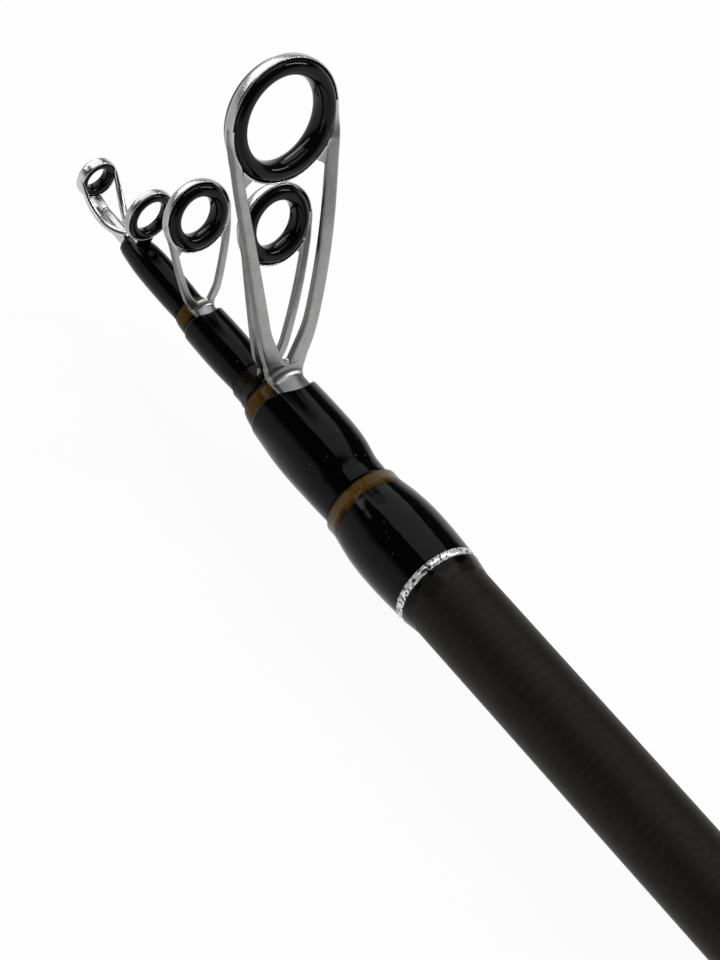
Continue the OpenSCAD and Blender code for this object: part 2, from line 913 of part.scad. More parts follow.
// The wrap leaves the top of guide 4's foot bare
module section_4_wrap() {
    color(black)
        rotate([turn_4, 0, 0])
            difference() {
                guide_wrap(3, guide_4, w_front(wraps[3]), lift = 0.3, cover = 0.3, front_fall = 0.57);
                translate([g_leg_x(guide_4), -g_foot_w(guide_4), g_under_r(guide_4)])
                    cube([2 * g_foot_len(guide_4), 2 * g_foot_w(guide_4), g_ring_z(guide_4)]);
            }
}

module guide_4_frame() {
    rotate([turn_4, 0, 0])
        guide_frame(guide_4, false);
}

module guide_4_ring() {
    rotate([turn_4, 0, 0])
        guide_ring(guide_4);
}

// Tip with its tip-top

tube_r = tip_d / 2 + 0.35;
tube_x = mouth[3] + rest_gap;
tube_end = mouth[3] + show_tip;
tip_holder_len = 2.2;
arm_d = 0.9;
strut_w = 1.2;
strut_t = 0.7;

// Round arm that leaves the tube along X and sweeps up in one arc to the ring's side
module tip_arm(side) {
    from = [tube_x + 1, tube_r * 0.9, 0.2];
    to = [g_ring_x(tip_ring), (tip_ring_d - g_rim(tip_ring)) / 2, tip_ring_h];
    run = to[0] - from[0];
    spread = norm([to[1] - from[1], to[2] - from[2]]);
    tilt = atan2(to[1] - from[1], to[2] - from[2]);
    sweep = 2 * atan(spread / run);
    arc_r = run / sin(sweep);
    translate([from[0], side * from[1], from[2]])
        rotate([-side * tilt, 0, 0])
            translate([0, 0, arc_r])
                rotate([90, 0, 0])
                    rotate([0, 0, -90])
                        rotate_extrude(angle = sweep)
                            translate([arc_r, 0])
                                circle(d = arm_d);
}

// Flat strut from the tube's front to the bottom of the ring
module tip_strut() {
    from = [tube_end - 2 * strut_t, tube_r - strut_t / 4];
    to = [g_ring_x(tip_ring), tip_ring_h - tip_ring_d / 2 + g_rim(tip_ring) / 2];
    translate([from[0], 0, from[1]])
        rotate([0, -atan2(to[1] - from[1], to[0] - from[0]), 0])
            translate([0, -strut_w / 2, -strut_t / 2])
                cube([norm(to - from), strut_w, strut_t]);
}

module tip_blank() {
    color(carbon)
        turned([
            [0, base_x[4]],
            [base_r(4), base_x[4]],
            [tip_d / 2, tube_x],
            [tip_d / 2, tip_front],
            [0, tip_front]
        ]);
}

module tip_top_frame() {
    color(steel)
        rotate([turn_tip, 0, 0])
            difference() {
                union() {
                    tube(tube_x, tube_end, 0, tube_r);
                    at_ring(tip_ring)
                        ring_holder(tip_ring, tip_holder_len);
                    for (side = [-1, 1])
                        tip_arm(side);
                    tip_strut();
                }
                tube(tube_x - 1, tip_front + bond, 0, tip_d / 2 + bond);
                at_ring(tip_ring)
                    rotate([0, 90, 0])
                        cylinder(r = g_seat_r(tip_ring), h = tip_ring_d, center = true);
            }
}

module tip_top_ring() {
    rotate([turn_tip, 0, 0])
        guide_ring(tip_ring);
}

butt_blank();
butt_wrap();
butt_mouth_band();
silver_trim_band();
butt_ferrule();
butt_cap();
cap_gasket();
cushion_pad();
rear_grip();
rear_trim_ring();
reel_seat_body();
fixed_hood();
sliding_hood();
locking_nut();
front_trim_ring();
fore_grip();
winding_check();
section_2_blank();
section_2_wrap();
section_2_mouth_band();
guide_1_frame();
guide_1_ring();
float_sleeve();
float_wrap();
guide_2_frame();
guide_2_ring();
section_3_blank();
section_3_wrap();
section_3_mouth_band();
guide_3_frame();
guide_3_ring();
section_4_blank();
section_4_wrap();
guide_4_frame();
guide_4_ring();
tip_blank();
tip_top_frame();
tip_top_ring();
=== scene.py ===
from math import atan, atan2, copysign, cos, exp, hypot, pi, radians, sin, sqrt, tan

import bmesh
import bpy
from mathutils import Matrix, Vector


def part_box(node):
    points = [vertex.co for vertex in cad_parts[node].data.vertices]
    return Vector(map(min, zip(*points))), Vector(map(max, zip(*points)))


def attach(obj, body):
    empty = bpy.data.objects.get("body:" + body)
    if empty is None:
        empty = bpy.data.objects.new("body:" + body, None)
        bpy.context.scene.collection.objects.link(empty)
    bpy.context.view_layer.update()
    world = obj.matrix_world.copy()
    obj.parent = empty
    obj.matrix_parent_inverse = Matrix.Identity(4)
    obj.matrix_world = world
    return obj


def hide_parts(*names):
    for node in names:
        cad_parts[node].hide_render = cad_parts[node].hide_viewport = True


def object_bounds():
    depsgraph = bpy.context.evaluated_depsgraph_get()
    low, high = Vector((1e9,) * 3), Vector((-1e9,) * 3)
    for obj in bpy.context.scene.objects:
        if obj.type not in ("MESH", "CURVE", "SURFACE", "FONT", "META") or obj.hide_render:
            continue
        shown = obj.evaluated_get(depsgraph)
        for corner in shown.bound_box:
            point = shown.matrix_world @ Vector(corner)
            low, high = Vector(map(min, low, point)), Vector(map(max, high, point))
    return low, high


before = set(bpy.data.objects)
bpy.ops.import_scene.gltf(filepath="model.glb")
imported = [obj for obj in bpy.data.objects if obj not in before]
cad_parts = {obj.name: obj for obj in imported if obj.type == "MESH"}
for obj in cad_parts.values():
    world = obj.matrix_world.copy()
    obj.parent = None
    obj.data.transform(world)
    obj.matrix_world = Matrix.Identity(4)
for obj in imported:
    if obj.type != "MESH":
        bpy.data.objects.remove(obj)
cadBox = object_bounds()
mm = 0.001
print("frame loaded,", len(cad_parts), "nodes")

# Camera: stands above the rod on its +Y side and looks along it to the tip

cameraView = {
    "place": (178.763, 454.910, 542.140),  # mm
    "right": (-0.58707508, -0.77423849, 0.23642675),
    "up": (0.65395899, -0.28143268, 0.70223449),
    "lens": 187.5,
    "sensor": 36.0,
    "clip": (0.01, 50.0),  # m
}


def makeCamera(view):
    data = bpy.data.cameras.new("photoCamera")
    data.lens = view["lens"]
    data.sensor_width = view["sensor"]
    data.clip_start, data.clip_end = view["clip"]
    right = Vector(view["right"]).normalized()
    up = Vector(view["up"]).normalized()
    turn = Matrix((right, up, right.cross(up))).transposed().to_4x4()
    camera = bpy.data.objects.new("photoCamera", data)
    camera.matrix_world = Matrix.Translation(Vector(view["place"]) * mm) @ turn
    bpy.context.scene.collection.objects.link(camera)
    bpy.context.scene.camera = camera


makeCamera(cameraView)
print("camera placed")


# Node helpers: a value that is a socket is linked, any other is set

def addNode(tree, kind, inputs=None, **settings):
    node = tree.nodes.new(kind)
    for name, value in settings.items():
        setattr(node, name, value)
    for name, value in (inputs or {}).items():
        if isinstance(value, bpy.types.NodeSocket):
            tree.links.new(value, node.inputs[name])
        else:
            node.inputs[name].default_value = value
    return node


def mathNode(tree, operation, a, b=0.0, c=0.0):
    return addNode(tree, "ShaderNodeMath", {0: a, 1: b, 2: c}, operation=operation).outputs[0]


# First value times its share, plus the second times its own
def weighed(tree, first, firstShare, second, secondShare):
    rest = mathNode(tree, "MULTIPLY", second, secondShare)
    return mathNode(tree, "MULTIPLY_ADD", first, firstShare, rest)


def objectPlace(tree):
    return addNode(tree, "ShaderNodeTexCoord").outputs["Object"]


def noiseNode(tree, place, scale, detail, rough=0.5):
    inputs = {"Vector": place, "Scale": scale, "Detail": detail, "Roughness": rough}
    return addNode(tree, "ShaderNodeTexNoise", inputs).outputs["Fac"]


# Goes from 0 where the value is at start to 1 where it is at end
def shareNode(tree, value, start, end, kind="LINEAR"):
    inputs = {"Value": value, "From Min": start, "From Max": end}
    return addNode(tree, "ShaderNodeMapRange", inputs, interpolation_type=kind).outputs["Result"]


def mapTo(tree, value, low, high):
    inputs = {"Value": value, "To Min": low, "To Max": high}
    return addNode(tree, "ShaderNodeMapRange", inputs).outputs["Result"]


def mixColours(tree, share, low, high):
    low, high = (c if isinstance(c, bpy.types.NodeSocket) else (*c, 1.0) for c in (low, high))
    return addNode(tree, "ShaderNodeMix", {"Factor": share, 6: low, 7: high}, data_type="RGBA").outputs[2]


def startGroup(name, inputs, outputs):
    tree = bpy.data.node_groups.new(name, "ShaderNodeTree")
    for label, value in inputs.items():
        socket = tree.interface.new_socket(label, in_out="INPUT", socket_type="NodeSocketFloat")
        socket.default_value = value
    for label in outputs:
        tree.interface.new_socket(label, in_out="OUTPUT", socket_type="NodeSocketFloat")
    return tree, tree.nodes.new("NodeGroupInput").outputs, tree.nodes.new("NodeGroupOutput").inputs


# Fine lines of wound thread, side by side along the rod
def makeThreadLines():
    wanderScale = 320.0
    grooveSharpness = 3.0
    tree, given, out = startGroup("threadLines", {"Pitch": 0.00025, "Wander": 0.1}, ("Height", "Groove"))
    place = objectPlace(tree)
    wander = noiseNode(tree, place, wanderScale, 2.0)
    along = addNode(tree, "ShaderNodeSeparateXYZ", {0: place}).outputs["X"]
    turns = mathNode(tree, "DIVIDE", along, given["Pitch"])
    turns = mathNode(tree, "ADD", turns, mathNode(tree, "MULTIPLY", wander, given["Wander"]))
    wave = mathNode(tree, "SINE", mathNode(tree, "MULTIPLY", turns, 2 * pi))
    height = mathNode(tree, "MULTIPLY_ADD", wave, 0.5, 0.5)
    groove = mathNode(tree, "POWER", mathNode(tree, "SUBTRACT", 1.0, height), grooveSharpness)
    tree.links.new(height, out["Height"])
    tree.links.new(groove, out["Groove"])
    return tree


# Soft lumps and fine grain of a finish
def makeFinishGrain():
    sizes = {"Lump size": 0.004, "Grain size": 0.0003}
    tree, given, out = startGroup("finishGrain", sizes, ("Lumps", "Grain"))
    place = objectPlace(tree)
    for label, name in (("Lump size", "Lumps"), ("Grain size", "Grain")):
        scale = mathNode(tree, "DIVIDE", 1.0, given[label])
        tree.links.new(noiseNode(tree, place, scale, 3.0, 0.55), out[name])
    return tree


# Mask of sparse specks, for dust and tiny bubbles
def makeDustSpecks():
    patchScale = 140.0
    patchLevel = 0.56  # specks show only where the patches' noise is above this
    tree, given, out = startGroup("dustSpecks", {"Cell size": 0.0012, "Speck share": 0.12}, ("Specks",))
    place = objectPlace(tree)
    scale = mathNode(tree, "DIVIDE", 1.0, given["Cell size"])
    cells = addNode(tree, "ShaderNodeTexVoronoi", {"Vector": place, "Scale": scale}).outputs["Distance"]
    patches = mathNode(tree, "GREATER_THAN", noiseNode(tree, place, patchScale, 1.0), patchLevel)
    near = mathNode(tree, "LESS_THAN", cells, given["Speck share"])
    tree.links.new(mathNode(tree, "MULTIPLY", near, patches), out["Specks"])
    return tree


# Hair-fine scratches of a tumbled metal, drawn out along Z, and softer blotches
def makeBrushLines():
    blotchScale = 420.0
    tree, given, out = startGroup("brushLines", {"Fine": 9000.0, "Long": 500.0}, ("Lines", "Blotches"))
    place = objectPlace(tree)
    sizes = {"X": given["Fine"], "Y": given["Fine"], "Z": given["Long"]}
    spread = addNode(tree, "ShaderNodeCombineXYZ", sizes).outputs[0]
    stretched = addNode(tree, "ShaderNodeVectorMath", {0: place, 1: spread}, operation="MULTIPLY").outputs[0]
    tree.links.new(noiseNode(tree, stretched, 1.0, 2.0), out["Lines"])
    tree.links.new(noiseNode(tree, place, blotchScale, 4.0, 0.6), out["Blotches"])
    return tree


threadLines = makeThreadLines()
finishGrain = makeFinishGrain()
dustSpecks = makeDustSpecks()
brushLines = makeBrushLines()


# Materials: sizes and depths in m, tones run from dark to light

def startMaterial(name, **constants):
    material = bpy.data.materials.new(name)
    material.use_nodes = True
    tree = material.node_tree
    tree.nodes.clear()
    shader = tree.nodes.new("ShaderNodeBsdfPrincipled")
    for label, value in constants.items():
        shader.inputs[label.replace("_", " ")].default_value = value
    tree.links.new(shader.outputs[0], tree.nodes.new("ShaderNodeOutputMaterial").inputs["Surface"])
    return material, tree, shader


def useGroup(tree, group, **values):
    node = tree.nodes.new("ShaderNodeGroup")
    node.node_tree = group
    for label, value in values.items():
        node.inputs[label.replace("_", " ")].default_value = value
    return node.outputs


def giveLook(tree, shader, colour, rough):
    tree.links.new(colour, shader.inputs["Base Color"])
    tree.links.new(rough, shader.inputs["Roughness"])


def giveBump(tree, shader, height, depth):
    bump = addNode(tree, "ShaderNodeBump", {"Height": height, "Distance": depth, "Strength": 1.0})
    tree.links.new(bump.outputs["Normal"], shader.inputs["Normal"])


# Satin blank: very dark brown under a thin matt varnish, with faint rings of the cloth's winding
def makeBlankSatin():
    tones = (0.0070, 0.0058, 0.0035), (0.0170, 0.0146, 0.0096)
    rough = 0.40, 0.52
    grainDepth = 0.00001
    material, tree, shader = startMaterial("blankSatin", Specular_IOR_Level=0.08)
    grain = useGroup(tree, finishGrain, Lump_size=0.012, Grain_size=0.00025)
    lines = useGroup(tree, threadLines, Pitch=0.0021, Wander=2.5)
    tint = weighed(tree, grain["Lumps"], 0.7, lines["Height"], 0.3)
    giveLook(tree, shader, mixColours(tree, tint, *tones), mapTo(tree, grain["Grain"], *rough))
    giveBump(tree, shader, grain["Grain"], grainDepth)
    return material


# Black thread under thick clear epoxy: wet gloss, slow waves, a little dust
def makeEpoxyBlack():
    threadTone = 0.0011, 0.0013, 0.0016
    grooveTone = 0.0004, 0.0005, 0.0006
    dustTone = 0.070, 0.072, 0.076
    rough = 0.03, 0.07
    threadShow = 0.03  # how much of the thread's lines shows in the waves
    waveDepth = 0.00012
    material, tree, shader = startMaterial("epoxyBlack", Specular_IOR_Level=0.1)
    grain = useGroup(tree, finishGrain, Lump_size=0.006, Grain_size=0.0004)
    lines = useGroup(tree, threadLines, Pitch=0.0003, Wander=0.15)
    specks = useGroup(tree, dustSpecks, Cell_size=0.0011, Speck_share=0.1)
    thread = mixColours(tree, lines["Groove"], threadTone, grooveTone)
    colour = mixColours(tree, specks["Specks"], thread, dustTone)
    giveLook(tree, shader, colour, mapTo(tree, grain["Lumps"], *rough))
    waves = mathNode(tree, "MULTIPLY_ADD", lines["Height"], threadShow, grain["Lumps"])
    giveBump(tree, shader, waves, waveDepth)
    return material


# Amber thread seen through the epoxy: it fades into the black wrap behind it and darkens at the rim
def makeAmberThread():
    amberTones = (0.030, 0.014, 0.0008), (0.165, 0.078, 0.0042)
    grooveTone = 0.030, 0.013, 0.0010
    wrapTone = 0.0030, 0.0024, 0.0016
    rough = 0.05, 0.1
    fade = 0.45, 0.88  # along the band, with its lumps added
    rimStart = 0.84
    waveDepth = 0.00012
    material, tree, shader = startMaterial("amberThread", Specular_IOR_Level=0.04)
    grain = useGroup(tree, finishGrain, Lump_size=0.0032, Grain_size=0.0006)
    lines = useGroup(tree, threadLines, Pitch=0.00028, Wander=0.2)
    along = addNode(tree, "ShaderNodeAttribute", attribute_name="along").outputs["Fac"]
    ragged = mathNode(tree, "MULTIPLY_ADD", grain["Lumps"], 0.7, along)
    shown = shareNode(tree, ragged, *fade, "SMOOTHSTEP")
    rim = shareNode(tree, along, 1.0, rimStart)
    amber = mixColours(tree, grain["Grain"], *amberTones)
    amber = mixColours(tree, lines["Groove"], amber, grooveTone)
    colour = mixColours(tree, mathNode(tree, "MULTIPLY", shown, rim), wrapTone, amber)
    giveLook(tree, shader, colour, mapTo(tree, grain["Grain"], *rough))
    giveBump(tree, shader, grain["Lumps"], waveDepth)
    return material


# Clear epoxy that runs out over the blank, with ragged dark patches at its end next to the trim band
def makeClearTail():
    blankTone = 0.0130, 0.0112, 0.0078
    threadTone = 0.0008, 0.0009, 0.0010
    rough = 0.14, 0.26
    darkPatches = 1.14, 1.22  # along the tail, with its lumps added
    waveDepth = 0.00010
    material, tree, shader = startMaterial("clearTail", Specular_IOR_Level=0.1)
    grain = useGroup(tree, finishGrain, Lump_size=0.0030, Grain_size=0.0007)
    along = addNode(tree, "ShaderNodeAttribute", attribute_name="along").outputs["Fac"]
    ragged = mathNode(tree, "MULTIPLY_ADD", grain["Lumps"], 1.3, along)
    # dark patches, in the black thread's tone, where the tail nears the trim band
    colour = mixColours(tree, shareNode(tree, ragged, *darkPatches), blankTone, threadTone)
    giveLook(tree, shader, colour, mapTo(tree, grain["Grain"], *rough))
    giveBump(tree, shader, grain["Lumps"], waveDepth)
    return material


foilCoat = {"Coat_Weight": 0.3, "Coat_Roughness": 0.05}


# Bright metallised strands of the trim band
def makeSilverStrand():
    tones = (0.46, 0.47, 0.48), (0.92, 0.92, 0.92)
    rough = 0.22, 0.42
    material, tree, shader = startMaterial("silverStrand", Metallic=0.55, **foilCoat)
    grain = useGroup(tree, finishGrain, Lump_size=0.0009, Grain_size=0.0002)
    giveLook(tree, shader, mixColours(tree, grain["Lumps"], *tones), mapTo(tree, grain["Grain"], *rough))
    return material


# Foil under the crossed strands, with bright and dull flecks painted in, a painted reflection standing in
# for its creases catching the light
def makeCreasedFoil():
    tones = (0.03, 0.03, 0.032), (0.92, 0.92, 0.93)
    rough = 0.42, 0.2
    glintScale = 1900.0
    glintLevels = 0.25, 0.6  # painted reflection: dull below the first, bright above the second
    material, tree, shader = startMaterial("creasedFoil", Metallic=0.5, **foilCoat)
    inputs = {"Vector": objectPlace(tree), "Scale": glintScale}
    glintCells = addNode(tree, "ShaderNodeTexVoronoi", inputs).outputs["Color"]
    level = addNode(tree, "ShaderNodeSeparateColor", {0: glintCells}).outputs["Red"]
    # painted reflection: each cell's level sets a bright or a dull fleck in the colour
    colour = mixColours(tree, shareNode(tree, level, *glintLevels), *tones)
    giveLook(tree, shader, colour, mapTo(tree, level, *rough))
    return material


# Stainless sheet of the guides: tumbled, with fine lines and darker blotches, and painted shade on the faces
# that turn sideways
def makeGuideSteel():
    faceTones = (0.16, 0.16, 0.158), (0.52, 0.52, 0.515)
    sideShadeTones = (0.06, 0.06, 0.059), (0.25, 0.25, 0.247)  # painted shade on faces turned sideways, the cut edges among them, standing in for their darker reflection
    buffedTones = (0.34, 0.34, 0.338), (0.74, 0.74, 0.735)  # ring holders and the tip-top are buffed
    rough = 0.24, 0.40
    buffedRough = -0.14  # added to the roughness where it is buffed
    sideShadeLevels = 0.45, 0.85  # how far a face turns sideways, from no painted shade to full
    grainDepth = 0.000025
    material, tree, shader = startMaterial("guideSteel", Metallic=1.0)
    brushed = useGroup(tree, brushLines, Fine=7000.0, Long=420.0)
    grain = useGroup(tree, finishGrain, Lump_size=0.0032, Grain_size=0.00028)
    tone = weighed(tree, brushed["Lines"], 0.45, brushed["Blotches"], 0.55)
    speckled = mathNode(tree, "MULTIPLY_ADD", grain["Grain"], 0.5, mathNode(tree, "SUBTRACT", tone, 0.25))
    facing = addNode(tree, "ShaderNodeTexCoord").outputs["Normal"]
    sideways = mathNode(tree, "ABSOLUTE", addNode(tree, "ShaderNodeSeparateXYZ", {0: facing}).outputs["Y"])
    # painted shade: the darker tones go on faces turned towards +Y or -Y
    sideShadeMask = shareNode(tree, sideways, *sideShadeLevels, "SMOOTHSTEP")
    polish = addNode(tree, "ShaderNodeAttribute", attribute_name="polish").outputs["Fac"]
    face = mixColours(tree, speckled, *faceTones)
    # painted shade: the darker copy of the steel, for faces turned sideways
    edge = mixColours(tree, speckled, *sideShadeTones)
    buffed = mixColours(tree, tone, *buffedTones)
    colour = mixColours(tree, polish, mixColours(tree, sideShadeMask, face, edge), buffed)
    tumbled = mapTo(tree, grain["Lumps"], *rough)
    giveLook(tree, shader, colour, mathNode(tree, "MULTIPLY_ADD", polish, buffedRough, tumbled))
    giveBump(tree, shader, weighed(tree, grain["Grain"], 0.5, brushed["Lines"], 0.5), grainDepth)
    return material


# Polished black ceramic
def makeRingCeramic():
    tones = (0.0016, 0.0017, 0.0019), (0.0032, 0.0033, 0.0036)
    dustTone = 0.02, 0.02, 0.021
    rough = 0.04, 0.09
    material, tree, shader = startMaterial("ringCeramic", Specular_IOR_Level=0.16)
    grain = useGroup(tree, finishGrain, Lump_size=0.004, Grain_size=0.0006)
    specks = useGroup(tree, dustSpecks, Cell_size=0.0016, Speck_share=0.06)
    colour = mixColours(tree, specks["Specks"], mixColours(tree, grain["Lumps"], *tones), dustTone)
    giveLook(tree, shader, colour, mapTo(tree, grain["Grain"], *rough))
    return material


# Closed-cell foam of the grips, with painted shade in the grooves between its cells
def makeGripFoam():
    tones = (0.008, 0.008, 0.0085), (0.020, 0.020, 0.021)
    rough = 0.72, 0.9
    sheen = {"Sheen_Weight": 0.08, "Sheen_Roughness": 0.6}
    cellScale = 1900.0
    cellDepth = 0.00018
    material, tree, shader = startMaterial("gripFoam", Specular_IOR_Level=0.3, **sheen)
    grain = useGroup(tree, finishGrain, Lump_size=0.010, Grain_size=0.0006)
    inputs = {"Vector": objectPlace(tree), "Scale": cellScale}
    cells = addNode(tree, "ShaderNodeTexVoronoi", inputs, feature="DISTANCE_TO_EDGE").outputs["Distance"]
    # painted shade: the grooves between cells, sunk by the bump, take the dark tone
    tone = weighed(tree, grain["Lumps"], 0.6, cells, 1.2)
    giveLook(tree, shader, mixColours(tree, tone, *tones), mapTo(tree, grain["Grain"], *rough))
    giveBump(tree, shader, cells, cellDepth)
    return material


# Turned aluminium with a satin black or clear finish, and painted shade in its turning grooves
def makeTurnedAluminium(name, dark, light, low, high):
    lineDepth = 0.000008
    material, tree, shader = startMaterial(name, Metallic=1.0)
    lines = useGroup(tree, threadLines, Pitch=0.00012, Wander=1.2)
    grain = useGroup(tree, finishGrain, Lump_size=0.006, Grain_size=0.0003)
    # painted shade: the grooves of the turning lines, sunk by the bump, take the darker tone
    tone = weighed(tree, lines["Height"], 0.35, grain["Lumps"], 0.65)
    giveLook(tree, shader, mixColours(tree, tone, dark, light), mapTo(tree, grain["Grain"], low, high))
    giveBump(tree, shader, lines["Height"], lineDepth)
    return material


# Moulded pieces: black plastic and rubber, the brown sleeve and the pad
def makeMoulded(name, dark, light, low, high, depth, shine=0.45):
    material, tree, shader = startMaterial(name, Specular_IOR_Level=shine)
    grain = useGroup(tree, finishGrain, Lump_size=0.007, Grain_size=0.00035)
    colour = mixColours(tree, grain["Lumps"], dark, light)
    giveLook(tree, shader, colour, mapTo(tree, grain["Grain"], low, high))
    giveBump(tree, shader, grain["Grain"], depth)
    return material


blankSatin = makeBlankSatin()
epoxyBlack = makeEpoxyBlack()
amberThread = makeAmberThread()
clearTail = makeClearTail()
silverStrand = makeSilverStrand()
creasedFoil = makeCreasedFoil()
guideSteel = makeGuideSteel()
ringCeramic = makeRingCeramic()
gripFoam = makeGripFoam()
# name, dark tone, light tone, least and most roughness, and for moulded pieces depth of grain and shine
clearAluminium = makeTurnedAluminium("clearAluminium", (0.42, 0.42, 0.43), (0.62, 0.62, 0.63), 0.22, 0.34)
blackAluminium = makeTurnedAluminium("blackAluminium", (0.035, 0.035, 0.037), (0.07, 0.07, 0.073), 0.26, 0.4)
seatPlastic = makeMoulded("seatPlastic", (0.007, 0.007, 0.0078), (0.013, 0.013, 0.014), 0.3, 0.45, 0.00003)
capRubber = makeMoulded("capRubber", (0.009, 0.009, 0.0092), (0.017, 0.017, 0.0175), 0.62, 0.8, 0.00006)
sleeveBrown = makeMoulded("sleeveBrown", (0.0030, 0.0019, 0.0009), (0.0110, 0.0060, 0.0016),
                          0.12, 0.22, 0.00004, 0.12)
padBrown = makeMoulded("padBrown", (0.16, 0.085, 0.04), (0.26, 0.15, 0.075), 0.75, 0.9, 0.00012)
print("materials made")

# Finishes of the nodes that keep their CAD shape

finishes = (
    (blankSatin, ("butt_blank", "section_2_blank", "section_3_blank", "section_4_blank", "tip_blank")),
    (gripFoam, ("rear_grip", "fore_grip")),
    (clearAluminium, ("rear_trim_ring", "front_trim_ring", "fixed_hood", "sliding_hood")),
    (blackAluminium, ("butt_ferrule", "winding_check")),
    (seatPlastic, ("reel_seat_body", "locking_nut")),
    (capRubber, ("butt_cap", "cap_gasket")),
    (sleeveBrown, ("float_sleeve", "float_wrap")),
    (padBrown, ("cushion_pad",)),
)
for material, nodeNames in finishes:
    for nodeName in nodeNames:
        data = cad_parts[nodeName].data
        data.materials.clear()
        data.materials.append(material)
print("CAD nodes finished")


# Mesh helpers, all in mm along the rod

def meshObject(name, bm, material, scale=mm, turn=None):
    if turn is not None:
        bm.transform(turn)
    bm.transform(Matrix.Diagonal((scale, scale, scale, 1)))
    data = bpy.data.meshes.new(name)
    bm.to_mesh(data)
    bm.free()
    data.materials.append(material)
    piece = bpy.data.objects.new(name, data)
    bpy.context.scene.collection.objects.link(piece)
    return piece


def smoothShade(piece):
    piece.data.polygons.foreach_set("use_smooth", [True] * len(piece.data.polygons))
    piece.data.update()
    return piece


def pointOutwards(bm):
    bmesh.ops.recalc_face_normals(bm, faces=bm.faces)


def anglesRound(steps):
    return [2 * pi * k / steps for k in range(steps)]


# Closed loops of points, one after another, joined by quads, with the ends capped or joined up
def loft(bm, loops, closed=False):
    rows = [[bm.verts.new(p) for p in loop] for loop in loops]
    pairs = list(zip(rows, rows[1:])) + ([(rows[-1], rows[0])] if closed else [])
    for low, high in pairs:
        for i in range(len(low)):
            j = (i + 1) % len(low)
            bm.faces.new((low[i], low[j], high[j], high[i]))
    if not closed:
        bm.faces.new(rows[0][::-1])
        bm.faces.new(rows[-1])


# Ring turned about X from a closed profile of (place, radius) points, then leant and put in place
def turnRing(bm, profile, steps, centre=(0, 0, 0), lean=0.0):
    loops = []
    tilt = Matrix.Translation(centre) @ Matrix.Rotation(radians(lean), 4, "Y")
    for a in anglesRound(steps):
        loops.append([tilt @ Vector((x, r * cos(a), r * sin(a))) for x, r in profile])
    loft(bm, loops, closed=True)
    pointOutwards(bm)


# Closed outline between two radii: an oval at power 2, nearly a box at higher ones
def roundProfile(length, inner, outer, power, steps):
    def bulge(c):
        return copysign(abs(c) ** (2 / power), c)

    middle = (inner + outer) / 2
    points = []
    for a in anglesRound(steps):
        points.append((bulge(cos(a)) * length / 2, middle + bulge(sin(a)) * (outer - inner) / 2))
    return points


# Cross-section of a flat strip with rounded edges
def stripSection(width, thick):
    return roundProfile(width, -thick / 2, thick / 2, power=7.0, steps=28)


def clamped(t):
    return max(0.0, min(1.0, t))


def easeIn(t):
    t = clamped(t)
    return t * t * (3 - 2 * t)


def between(pair, share):
    return pair[0] + (pair[1] - pair[0]) * share


# Centre of a ring's node in mm, its height above the rod's axis and its turn round that axis
def ringPlace(node):
    low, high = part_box(node)
    centre = (low + high) / 2 / mm
    return centre, hypot(centre.y, centre.z), atan2(-centre.y, centre.z)


def finished(piece, body, node):
    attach(piece, body)
    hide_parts(node)
    return piece


# Runs a piece's modifiers into a plain mesh
def applyAll(piece):
    graph = bpy.context.evaluated_depsgraph_get()
    data = bpy.data.meshes.new_from_object(piece.evaluated_get(graph))
    piece.modifiers.clear()
    piece.data = data
    return smoothShade(piece)


# Melts overlapping solids into one skin with soft edges, as the stamping and tumbling leave them
def meltTogether(piece, voxel, rounds):
    remesh = piece.modifiers.new("melt", "REMESH")
    remesh.mode = "VOXEL"
    remesh.voxel_size = voxel * mm
    soften = piece.modifiers.new("soften", "SMOOTH")
    soften.factor = 0.5
    soften.iterations = rounds
    return applyAll(piece)


# How far the steel is buffed, kept on the mesh: full within reach of the ring's axis, none beyond
def markPolish(piece, centre, axis, reach):
    fade = 0.4 * mm
    shares = []
    for v in piece.data.vertices:
        away = v.co - centre
        shares.append(clamped((reach + fade / 2 - (away - axis * away.dot(axis)).length) / fade))
    piece.data.attributes.new("polish", "FLOAT", "POINT").data.foreach_set("value", shares)


# Ceramic rings: full round beads, a little proud of their holders on both sides

ceramics = {  # radii and length in mm
    "guide_1_ring": {"hole": 7.4, "outer": 10.48, "length": 4.3},
    "guide_2_ring": {"hole": 4.05, "outer": 6.75, "length": 3.6},
    "guide_3_ring": {"hole": 3.4, "outer": 5.95, "length": 3.4},
    "guide_4_ring": {"hole": 2.75, "outer": 4.4, "length": 2.2},
    "tip_top_ring": {"hole": 1.95, "outer": 3.35, "length": 2.2},
}


def makeCeramic(node, body, lean):
    centre, ringZ, roll = ringPlace(node)
    size = ceramics[node]
    bm = bmesh.new()
    profile = roundProfile(size["length"], size["hole"], size["outer"], power=2.3, steps=40)
    turnRing(bm, profile, 160, (centre.x, 0, ringZ), lean)
    piece = meshObject(node.replace("_ring", "Ceramic"), bm, ringCeramic, turn=Matrix.Rotation(roll, 4, "X"))
    finished(smoothShade(piece), body, node)


# Guides: arched foot, bend, two legs that twist a little on the way up, and the ring's holder

